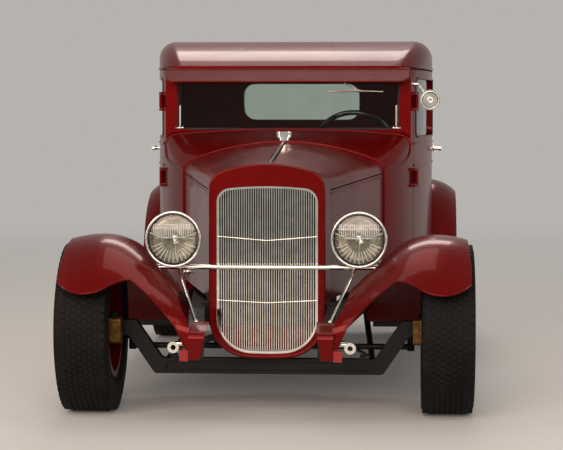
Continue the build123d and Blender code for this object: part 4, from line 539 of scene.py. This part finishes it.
def opening_edge(node, side, s, axle_z, width, first, last):
    """The wheel opening's edge on one side: in every few degrees, the corner nearest to the axle."""
    best = {}
    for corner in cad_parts[node].data.vertices:
        x, y, z = corner.co
        if side * x < width:
            continue
        out = Vector((station(s) - y, z - axle_z))
        turn = round(-Vector((1, 0)).angle_signed(out, 0.0) * 180 / pi / 4)
        if first <= turn * 4 <= last and (turn not in best or out.length < best[turn][0]):
            best[turn] = (out.length, corner.co.copy())
    return [best[turn][1] for turn in sorted(best)]


for side, name in SIDES:
    lip = []
    for a, m, b in LIP:
        for x, z in arc(a, m, b, 14):
            spot = touch(fender_skin, (side * x, -3.0, z + 0.003), (0, 1, 0))
            if spot and (not lip or abs(spot.y - lip[-1].y) < 0.06):
                lip.append(Vector((side * x, spot.y + 0.002, z)))
    bead(f"fender_wire_front_{name}", [lip], 0.0042, body_paint, "chassis", "body_paint", 10)
    for node, axle, first, last in (
        ("front_fenders", FRONT_AXLE, 40, 184), ("rear_fenders", REAR_AXLE, -20, 200),
    ):
        edge = opening_edge(node, side, *axle, SKIRT_X, first, last)
        bead(f"{node[:-1]}_wire_side_{name}", [edge], 0.0045, body_paint, "chassis", "body_paint", 10)

# Hood, cowl and the filler.
# Pressed panels in the same enamel; the hood halves meet on a long dark steel hinge along the middle.
# Raised mouldings run round the cowl and sweep down from the windscreen posts.
dress(body_paint, "body_paint", "hood_top_left", "hood_top_right", "hood_sides", "cowl", "hinges")

# Hinge steel: dark and oily, a line along the hood.
oiled_steel = finish_of("oiled hinge steel", "#242021", "#121011", 12, (0.3, 0.42), 0.1,
                        worn="#4a4038", wear=0.3, Metallic=0.6)
bead("hood_hinge_cover", [[(0, station(s), 0.9792 + 0.0000778 * s) for s in range(32, 925, 89)]], 0.0095,
     oiled_steel, "chassis", "body_paint", 12)


def hoop(skin, s, first, last, count, hub_z):
    """Points round a cross section of the body, from one side over the top to the other."""
    made = []
    for i in range(count + 1):
        a = radians(first + (last - first) * i / count)
        way = Vector((cos(a), 0, sin(a)))
        made.append(touch(skin, Vector((0, station(s), hub_z)) + way * 2, -way))
    return made


def side_line(skin, side, path):
    """Points on one flank of the body for a path of (station, height)."""
    return [touch(skin, (side * 2, station(s), z / 1000), (-side, 0, 0)) for s, z in path]


shell_edge = hoop(skin_of("grille_shell"), -90, -177, 177, 90, 0.60)
bead("shell_lip", [[p for p in shell_edge if p]], 0.0075, body_paint, "chassis", "body_paint", 12, True)
cowl_skin = skin_of("cowl")
bead("cowl_moulding_front", [hoop(cowl_skin, 948, -20, 200, 60, 0.75)], 0.006, body_paint, "chassis",
     "body_paint", 10)
bead("cowl_moulding_rear", [hoop(cowl_skin, 1226, 28, 152, 60, 0.75)], 0.005, body_paint, "chassis",
     "body_paint", 10)
sweep = [(1249, 1062), (1244, 1030), (1230, 1004), (1206, 984), (1172, 970), (1130, 961), (1080, 954),
         (1020, 948), (956, 943)]
hood_side = skin_of("hood_sides")
run = [(s, 866 + 0.0437 * (s - 30)) for s in range(45, 921, 35)]
for side, name in SIDES:
    bead(f"cowl_sweep_{name}", [side_line(cowl_skin, side, sweep)], 0.0065, body_paint, "chassis",
         "body_paint", 10)
    bead(f"hood_bead_{name}", [side_line(hood_side, side, run)], 0.0045, body_paint, "chassis", "body_paint")
    latch = touch(hood_side, (side * 2, station(800), 0.49), (-side, 0, 0))
    out = facing_x(latch.x, latch.y, latch.z, side)
    post = [(-0.004, 0.0), (-0.004, 0.014), (0.003, 0.014), (0.005, 0.008), (0.014, 0.007), (0.016, 0.010),
            (0.020, 0.010), (0.022, 0.0)]
    turned(f"hood_latch_post_{name}", post, out, chrome, "chassis", 24)
    lever = [out @ Vector((0.018, 0, k * 0.008)) for k in range(-1, 8)]
    bead(f"hood_latch_lever_{name}", [lever], 0.0045, chrome, "chassis", "bright_plate", 10)
low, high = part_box("filler_cap")
neck = (low + high) / 2
repeated("filler_knurl", ring, Matrix.Translation((neck.x, neck.y, high.z - 0.010)), "chassis", "bright_plate",
         count=36, rows=1, radius=(high.x - low.x) / 2 - 0.0005, row_pitch=0.0, stagger=0.0, skew=0.0,
         block=(0.0035, 0.0032, 0.011), material=chrome)

# Windscreen: flat glass in a painted frame, with a rubber seal, one wiper and two chrome swing arms.
# Clear safety glass with a faint green cast.
# The arms bolt to the posts with round thumb nuts; the wiper hangs from the header under the visor.
dress(body_paint, "body_paint", "windscreen_frame", "sun_visor")
window_glass = finish_of("safety glass", "#dfe8e2", "#d8e2dc", 120, (0.0, 0.02), 0.0,
                         worn="#d2ddd6", wear=0.2, **{"Transmission Weight": 1.0, "IOR": 1.2})
dress(window_glass, "window_glass", "door_glass_left", "door_glass_right", "fixed_glass")


def rounded(x0, z0, x1, z1, r, count=6):
    """Corners of an upright rounded rectangle, all the way round."""
    made = []
    corners = ((x1 - r, z1 - r, 0), (x0 + r, z1 - r, 90), (x0 + r, z0 + r, 180), (x1 - r, z0 + r, 270))
    for cx, cz, first in corners:
        for i in range(count + 1):
            a = radians(first + 90 * i / count)
            made.append((cx + r * cos(a), cz + r * sin(a)))
    return made


screen = rounded(-0.508, 1.113, 0.508, 1.343, 0.030)
bead("screen_seal", [[(x, station(1270), z) for x, z in screen]], 0.0055, seal_rubber, "chassis",
     "board_rubber", 8, True)
for side, name in SIDES:
    arm = [(side * 0.499, station(1262), 1.108 + 0.0095 * k) for k in range(13)]
    bead(f"swing_arm_{name}", [arm], 0.0042, chrome, "chassis", "bright_plate", 10)
    nut = [(-0.004, 0.0), (-0.004, 0.006), (0.010, 0.006), (0.011, 0.0095), (0.017, 0.0095), (0.018, 0.005),
           (0.026, 0.005), (0.027, 0.009), (0.033, 0.009), (0.034, 0.0)]
    turned(f"swing_nut_{name}", nut, facing_x(side * 0.515, station(1259), 1.118, -side), chrome, "chassis",
           24)
bead("wiper_arm", [[(0.262, station(1259), 1.345), (0.262, station(1258), 1.322), (0.304, station(1259), 1.300),
                    (0.346, station(1263), 1.284)]], 0.003, chrome, "chassis", "bright_plate", 8)
spine = [(0.182 + 0.016 * k, station(1265), 1.2875 - 0.00005 * (k - 8) ** 2) for k in range(17)]
bead("wiper_spine", [spine], 0.0028, chrome, "chassis", "bright_plate")
plate("wiper_rubber", 0.182, 0.438, 1264, 1272.6, 1.2815, 1.2850, seal_rubber, "board_rubber")
visor_skin = skin_of("sun_visor")
for label, z, thick in (("lower", 1.3285, 0.0040), ("upper", 1.3880, 0.0030)):
    front_edge = [touch(visor_skin, (-0.5545 * cos(pi * i / 60), -3.0, z), (0, 1, 0)) for i in range(61)]
    bead(f"visor_wire_{label}", [[p for p in front_edge if p]], thick, body_paint, "chassis", "body_paint", 10)

# Doors, roof and rear body.
# Pressed steel panels in the same enamel, with two belt mouldings and a drip moulding at the roof's edge.
# Windows sit in black rubber; the lever handles have round bright plates.
dress(body_paint, "body_paint", "roof", "rear_body", "trunk_lid", "door_left", "door_right")
roof_skin, rear_skin = skin_of("roof"), skin_of("rear_body")
for side, name in SIDES:
    door_skin = skin_of(f"door_{name}")
    for label, z in (("belt", 945), ("sill", 1045)):
        along_door = [(s, z) for s in range(1312, 2084, 32)]
        bead(f"door_{label}_{name}", [side_line(door_skin, side, along_door)], 0.0055, body_paint,
             f"door_{name}", "body_paint", 10)
        along_rear = [(s, z) for s in range(2098, 2960 if label == "belt" else 2440, 24)]
        bead(f"rear_{label}_{name}", [side_line(rear_skin, side, along_rear)], 0.0055, body_paint, "chassis",
             "body_paint", 10)
    drip = side_line(roof_skin, side, [(s, 1399) for s in range(1266, 2400, 36)])
    bead(f"drip_moulding_{name}", [drip], 0.006, body_paint, "chassis", "body_paint", 10)
    for label, skin, body, (s0, s1, z0, z1, r) in (
        ("door", door_skin, f"door_{name}", (1349, 2043, 1075, 1348, 34)),
        ("quarter", rear_skin, "chassis", (2147, 2379, 1089, 1348, 44)),
    ):
        edge = side_line(skin, side, rounded(s0, z0, s1, z1, r))
        near = max(abs(p.x) for p in edge if p) - 0.12
        bead(f"{label}_window_seal_{name}", [[p for p in edge if p and abs(p.x) > near]], 0.0042, seal_rubber,
             body, "board_rubber", 8, True)
    grip = touch(door_skin, (side * 2, station(2024), 1.011), (-side, 0, 0))
    plate = [(-0.003, 0.0), (-0.003, 0.024), (0.001, 0.024), (0.004, 0.019), (0.005, 0.014)]
    turned(f"handle_plate_{name}", plate, facing_x(grip.x, grip.y, grip.z, side), chrome, f"door_{name}",
           32)
glazed = skin_of("rear_body", "roof")
back_edge = [touch(glazed, (x, 3.0, z), (0, -1, 0)) for x, z in rounded(-0.304, 1.146, 0.304, 1.339, 0.062)]
bead("rear_window_seal", [[p for p in back_edge if p and p.y > station(2380)]], 0.0048, seal_rubber, "chassis",
     "board_rubber", 8, True)
hold = touch(skin_of("trunk_lid"), (0, 3.0, 0.705), (0, -1, 0))
backward = Matrix.Translation(hold) @ Matrix.Rotation(pi / 2, 4, "Z")
turned("lid_handle_stem", [(-0.004, 0.0), (-0.004, 0.020), (0.002, 0.020), (0.005, 0.010), (0.018, 0.0075),
                           (0.024, 0.009), (0.026, 0.0)], backward, chrome, "trunk_lid", 24)
bead("lid_handle_bar", [[backward @ Vector((0.022, 0.007 * k, 0)) for k in range(-6, 7)]], 0.0055, chrome,
     "trunk_lid", "bright_plate", 12)

# Round mirror on the left door post, facing back.
# Chrome bowl on a bent arm, closed by a silvered glass.

# Mirror glass: cold and sharp beside the warmer chrome.
mirror_silver = finish_of("silvered mirror glass", "#e8ebec", "#dfe3e4", 60, (0.0, 0.02), 0.0,
                          worn="#c9cfd2", wear=0.2, Metallic=1.0)
MIRROR_X, MIRROR_Z = 0.652, 1.246
mirror_skin = skin_of("door_mirror")
glass_seat = touch(mirror_skin, (MIRROR_X, 3.0, MIRROR_Z), (0, -1, 0))
turned("mirror_glass", [(-0.001, 0.0), (-0.001, 0.041), (0.0008, 0.0415), (0.0015, 0.040), (0.0015, 0.0)],
       Matrix.Translation(glass_seat) @ Matrix.Rotation(pi / 2, 4, "Z"), mirror_silver, "chassis",
       40)
for label, r, thick, mat, slot in (("groove", 0.0350, 0.0016, seal_rubber, "board_rubber"),
                                   ("bead", 0.0385, 0.0024, chrome, "bright_plate"),
                                   ("boss", 0.0110, 0.0030, chrome, "bright_plate")):
    loop = [touch(mirror_skin, (MIRROR_X + r * cos(a), -3.0, MIRROR_Z + r * sin(a)), (0, 1, 0))
            for a in (2 * pi * i / 40 for i in range(40))]
    bead(f"mirror_{label}", [[p for p in loop if p]], thick, mat, "chassis", slot, 8, True)

# Lamps at the horns and the tail.
# Moulded red plastic lenses; the tail lamps have bright rings.

# Red lens: deep red with a glossy face.
red_plastic = finish_of("moulded red lens", "#a3060a", "#780407", 6, (0.12, 0.2), 0.2,
                        worn="#6e0408", wear=0.3, wear_mm=20,
                        **{"Transmission Weight": 0.1, "Coat Weight": 0.3})
dress(red_plastic, "red_lens", "red_lamps")
for side, name in SIDES:
    tail = Matrix.Translation((side * 0.350, station(3168), 0.560)) @ Matrix.Rotation(pi / 2, 4, "Z")
    bezel = [(-0.006, 0.0375), (0.006, 0.0375), (0.009, 0.041), (0.005, 0.0455), (-0.006, 0.047),
             (-0.006, 0.0375)]
    turned(f"tail_ring_{name}", bezel, tail, chrome, "chassis", 40)

# Running boards: steel under a ribbed black rubber mat.
# The ribs run along the board, with a bright strip along its outer edge.

# Board rubber: matt, streaked along by shoes.
board_rubber = finish_of("ribbed board rubber", "#191918", "#0e0e0d", 8, (0.6, 0.75), 0.5, (6, 0.05, 1),
                         worn="#3a352e", wear=0.35)
dress(board_rubber, "board_rubber", "running_boards")
for side, name in SIDES:
    repeated(f"board_ribs_{name}", slats, Matrix.Translation((side * 0.664, station(1421), 0.2893)), "chassis",
             "board_rubber", count=9, pitch=(side * 0.0145, 0, 0), slat=(0.0065, 1.41, 0.0034),
             material=board_rubber)
    bead(f"board_strip_{name}", [[(side * 0.7985, station(s), 0.2868) for s in range(712, 2133, 142)]], 0.0032,
         chrome, "chassis", "bright_plate")

# Dash with three plain gauges, steering wheel and floor mat.
# Painted steel rail, bright rings, cream dials with blank scales; black cast rim; ribbed rubber mat.
# The gauges press into the rail; the horn button sits on the wheel's boss and turns with it.
dress(body_paint, "dash_paint", "dash")

# Cast rim: glossy black, browner where hands hold it.
rim_black = finish_of("black cast rim", "#1c1716", "#100d0c", 10, (0.12, 0.2), 0.0,
                      worn="#2c2320", wear=0.4, **{"Coat Weight": 0.5})
dress(rim_black, "wheel_rim_plastic", "steering_wheel")
# Dial card: cream, browned with age.
dial_cream = finish_of("printed dial card", "#e9e0c6", "#dccfae", 3, (0.5, 0.6), 0.05,
                       worn="#b9a67c", wear=0.3, wear_mm=25)
for i, x in enumerate((-0.12, 0.0, 0.12)):
    gauge = Matrix.Translation((x, station(1340), 0.985)) @ Matrix.Rotation(pi / 2, 4, "Z")
    bezel = [(-0.002, 0.041), (0.004, 0.0405), (0.007, 0.037), (0.004, 0.034), (-0.002, 0.0335),
             (-0.002, 0.041)]
    turned(f"gauge_ring_{i}", bezel, gauge, chrome, "chassis", 40)
    dial = [(-0.002, 0.0), (-0.002, 0.0335), (0.0008, 0.0335), (0.0008, 0.0)]
    turned(f"gauge_dial_{i}", dial, gauge, dial_cream, "chassis", 40)
    face = gauge @ Matrix.Translation((0.001, 0, 0)) @ Matrix.Rotation(pi / 2, 4, "Y")
    repeated(f"gauge_ticks_{i}", ring, face, "chassis", "dash_paint", count=24, rows=1, radius=0.029,
             row_pitch=0.0, stagger=0.0, skew=0.0, block=(0.005, 0.0009, 0.0006), material=seal_rubber)
    bead(f"gauge_needle_{i}", [[gauge @ Vector((0.0018, 0.02 * k * sin(0.6 - i), 0.02 * k * cos(0.6 - i)))
                                for k in (-0.3, 0.5, 1.25)]], 0.0008, seal_rubber, "chassis", "dash_paint", 6)
column = Matrix.Translation((0.300, station(1500), 1.040)) @ Vector((1, 0, 0)).rotation_difference(
    Vector((0, 0.848, 0.530))).to_matrix().to_4x4()
button = [(-0.004, 0.0), (-0.004, 0.031), (0.004, 0.031), (0.008, 0.026), (0.012, 0.022), (0.016, 0.012),
          (0.017, 0.0)]
turned("horn_button", button, column, chrome, "steering_wheel", 40)
repeated("floor_mat_ribs", slats, Matrix.Translation((-0.44, station(1480), 0.4500)), "chassis", "board_rubber",
         count=45, pitch=(0.02, 0, 0), slat=(0.016, 0.30, 0.004), material=board_rubber)

# Door cards: pressed board covered in the seat's leather cloth, held by spring clips inside each door.
# Bench seat: springs and horsehair under leather, sewn in upright pleats with a welt round the cushion.
# The padding is filled by a cloth simulation, then the pleats are drawn in.

# Leather: fine grain, lighter in broad worn patches.
leather = finish_of("grained oxblood leather", "#4a1e1a", "#321210", 3, (0.36, 0.5), 0.35,
                    worn="#5e2c22", wear=0.4, wear_mm=160, **{"Coat Weight": 0.15})
for side, name in SIDES:
    door_skin = skin_of(f"door_{name}")
    verts, faces = [], []
    across, up = 17, 11
    for back in (0, 1):
        for i in range(across):
            for k in range(up):
                s, z = 1345 + 690 * i / (across - 1), 0.50 + 0.50 * k / (up - 1)
                spot = touch(door_skin, (0, station(s), z), (side, 0, 0))
                roll = 0.004 * abs(sin(pi * 6 * i / (across - 1)))
                verts.append(spot - Vector((side * ((0.004 + roll) if not back else -0.001), 0, 0)))
    size = across * up
    for i in range(across - 1):
        for k in range(up - 1):
            a = i * up + k
            b = size + a
            faces += [(a, a + up, a + up + 1, a + 1), (b, b + 1, b + up + 1, b + up)]
    rim = [i * up for i in range(across)] + [(across - 1) * up + k for k in range(1, up)]
    rim += [i * up + up - 1 for i in range(across - 2, -1, -1)] + [k for k in range(up - 2, 0, -1)]
    faces += [(a, b, size + b, size + a) for a, b in zip(rim, rim[1:] + rim[:1])]
    solid_of(f"door_card_{name}", verts, faces, leather, f"door_{name}")


def stuffed(name, node, small, most, pleat_axis):
    """A seat pad: the CAD solid made a little smaller, blown up as cloth, kept in its space, then pleated."""
    low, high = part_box(node)
    mid = (low + high) / 2
    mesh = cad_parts[node].data.copy()
    obj = bpy.data.objects.new(name, mesh)
    bpy.context.scene.collection.objects.link(obj)
    work = bmesh.new()
    work.from_mesh(mesh)
    bmesh.ops.remove_doubles(work, verts=work.verts, dist=1e-5)
    for v in work.verts:
        for k in range(3):
            half = (high[k] - low[k]) / 2
            v.co[k] = mid[k] + (v.co[k] - mid[k]) * (half - small) / half
    work.to_mesh(mesh)
    work.free()
    grid = obj.modifiers.new("even grid", "REMESH")
    grid.mode, grid.voxel_size = "VOXEL", 0.010
    obj.data = bpy.data.meshes.new_from_object(obj.evaluated_get(bpy.context.evaluated_depsgraph_get()))
    obj.modifiers.clear()
    start = [v.co.copy() for v in obj.data.vertices]
    fill = obj.modifiers.new("fill", "CLOTH")
    fill.settings.use_pressure = True
    fill.settings.uniform_pressure_force = 4
    fill.settings.effector_weights.gravity = 0
    for tick in range(1, 21):
        bpy.context.scene.frame_set(tick)
    blown = bpy.data.meshes.new_from_object(obj.evaluated_get(bpy.context.evaluated_depsgraph_get()))
    obj.modifiers.clear()
    bpy.context.scene.frame_set(1)
    for v, was, now in zip(obj.data.vertices, start, blown.vertices):
        move = now.co - was
        v.co = was + move * min(1.0, most / max(move.length, 1e-9))
    for v in obj.data.vertices:
        inside = Vector(min(max(v.co[k], low[k]), high[k]) for k in range(3))
        face = max(0.0, min(1.0, pleat_axis.dot(v.normal) * 1.6))
        groove = abs(sin(pi * inside.x / 0.065)) ** 0.45
        v.co = inside - pleat_axis * (0.009 * face * (1 - groove))
    round_off = obj.modifiers.new("round", "SUBSURF")
    round_off.levels = round_off.render_levels = 1
    obj.data = bpy.data.meshes.new_from_object(obj.evaluated_get(bpy.context.evaluated_depsgraph_get()))
    obj.modifiers.clear()
    for poly in obj.data.polygons:
        poly.use_smooth = True
    obj.data.materials.clear()
    obj.data.materials.append(leather)
    keep(obj, "chassis")
    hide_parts(node)
    return obj


cushion = stuffed("seat_cushion_pad", "seat_cushion", 0.012, 0.024, Vector((0, 0, 1)))
stuffed("seat_back_pad", "seat_back", 0.012, 0.024, Vector((0, -0.97, 0.24)))
WELT_RISE = 0.78
low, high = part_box("seat_cushion")
mid = (low + high) / 2
cover = BVHTree.FromPolygons([v.co.copy() for v in cushion.data.vertices],
                             [tuple(p.vertices) for p in cushion.data.polygons])
z = low.z + WELT_RISE * (high.z - low.z)
welt = []
for x, y in rounded(low.x + 0.01, low.y + 0.01, high.x - 0.01, high.y - 0.01, 0.05, 8):
    way = Vector((mid.x - x, mid.y - y, 0))
    if abs(x) < high.x - 0.06:
        way.x = 0
    else:
        way.y = way.y if abs(way.y) > 0.15 else 0
    welt.append(touch(cover, Vector((x, y, z)) - way.normalized() * 0.2, way))
bead("cushion_welt", [[p for p in welt if p]], 0.0042, leather, "chassis", "seat_leather", 8, True)

# Studio: a pale painted floor that fades into the same pale light all round.
# A wide soft box stands behind the camera, with smaller ones above, beside and behind the car.
# The camera stands at the photo's place.
BACKDROP = "#b6b3af"
floor_paint = bpy.data.materials.new("pale studio floor")
floor_paint.use_nodes = True
tree = floor_paint.node_tree
tree.nodes.clear()
spot = add_node(tree, "ShaderNodeTexCoord").outputs["Object"]
grain = add_node(tree, "ShaderNodeTexNoise", {"Vector": spot, "Scale": 3.0, "Detail": 3.0})
stops = add_node(tree, "ShaderNodeValToRGB", {"Fac": grain.outputs["Fac"]})
stops.color_ramp.elements[0].color, stops.color_ramp.elements[1].color = lin("#d6d3cf"), lin("#dcdad6")
matt = add_node(tree, "ShaderNodeBsdfPrincipled", {"Base Color": stops.outputs["Color"], "Roughness": 0.7})
glow = add_node(tree, "ShaderNodeEmission", {"Color": lin(BACKDROP), "Strength": 1.0})
away = add_node(tree, "ShaderNodeVectorMath", {0: spot}, {"operation": "LENGTH"})
fade = add_node(tree, "ShaderNodeMapRange", {
    "Value": away.outputs["Value"], "From Min": 2.5, "From Max": 11.0, "To Min": 0.1, "To Max": 1.0})
mixed = add_node(tree, "ShaderNodeMixShader", {
    0: fade.outputs["Result"], 1: matt.outputs[0], 2: glow.outputs[0]})
add_node(tree, "ShaderNodeOutputMaterial", {"Surface": mixed.outputs[0]})
bpy.ops.mesh.primitive_plane_add(size=120, location=(0, 0, -0.004))
ground = bpy.context.object
ground.data.materials.append(floor_paint)

world = bpy.data.worlds.new("studio")
bpy.context.scene.world = world
world.use_nodes = True
tree = world.node_tree
tree.nodes.clear()
sky = add_node(tree, "ShaderNodeBackground", {"Color": lin(BACKDROP), "Strength": 0.45})
pale = add_node(tree, "ShaderNodeBackground", {"Color": lin(BACKDROP), "Strength": 1.0})
path = add_node(tree, "ShaderNodeLightPath").outputs
seen = add_node(tree, "ShaderNodeMath", {
    0: path["Is Camera Ray"], 1: path["Is Glossy Ray"]}, {"operation": "MAXIMUM"})
seen = add_node(tree, "ShaderNodeMath", {
    0: seen.outputs[0], 1: path["Is Transmission Ray"]}, {"operation": "MAXIMUM"})
mixed = add_node(tree, "ShaderNodeMixShader", {0: seen.outputs[0], 1: sky.outputs[0], 2: pale.outputs[0]})
add_node(tree, "ShaderNodeOutputWorld", {"Surface": mixed.outputs[0]})

for name, spot, aim, size, watts, shade in (
    ("front box", (-1.5, -11.5, 4.3), (0, -1.0, 0.8), (12.0, 4.2), 1150, "#ffe6da"),
    ("upper front box", (-0.4, -6.4, 5.6), (0, -1.2, 0.8), (4.6, 2.4), 90, "#fff6ee"),
    ("left strip", (5.0, -2.0, 2.6), (0, -0.5, 0.8), (0.7, 4.0), 50, "#fff6ee"),
    ("right strip", (-5.0, -2.0, 2.6), (0, -0.5, 0.8), (0.7, 4.0), 50, "#fff6ee"),
    ("top box", (0.0, 0.6, 5.6), (0, 0.4, 0.8), (2.0, 3.2), 40, "#fff6ee"),
    ("back box", (0.0, 7.5, 7.0), (0, 0.8, 0.9), (4.0, 2.0), 170, "#fff6ee"),
):
    lamp = bpy.data.lights.new(name, "AREA")
    lamp.shape, lamp.size, lamp.size_y, lamp.energy = "RECTANGLE", size[0], size[1], watts
    lamp.color = lin(shade)[:3]
    holder = bpy.data.objects.new(name, lamp)
    holder.location = spot
    holder.rotation_euler = (Vector(aim) - Vector(spot)).to_track_quat("-Z", "Y").to_euler()
    bpy.context.scene.collection.objects.link(holder)

PHOTO_W, PHOTO_H, FOCAL_PX = 563, 450, 1970
VANISH_PX, VANISH_PY = 407, 110
AXIS_PX, AXIS_PY = VANISH_PX - PHOTO_W / 2, PHOTO_H / 2 - VANISH_PY
SENSOR_MM = 36
eye = bpy.data.cameras.new("photo camera")
eye.sensor_width = SENSOR_MM
eye.lens = FOCAL_PX / PHOTO_W * SENSOR_MM
eye_holder = bpy.data.objects.new("photo camera", eye)
eye_holder.location = (0.548, station(-7800), 1.2)
eye_holder.rotation_euler = (pi / 2 - atan(AXIS_PY / FOCAL_PX), 0, atan(AXIS_PX / FOCAL_PX))
bpy.context.scene.collection.objects.link(eye_holder)
bpy.context.scene.camera = eye_holder
bpy.context.scene.view_settings.view_transform = "Standard"
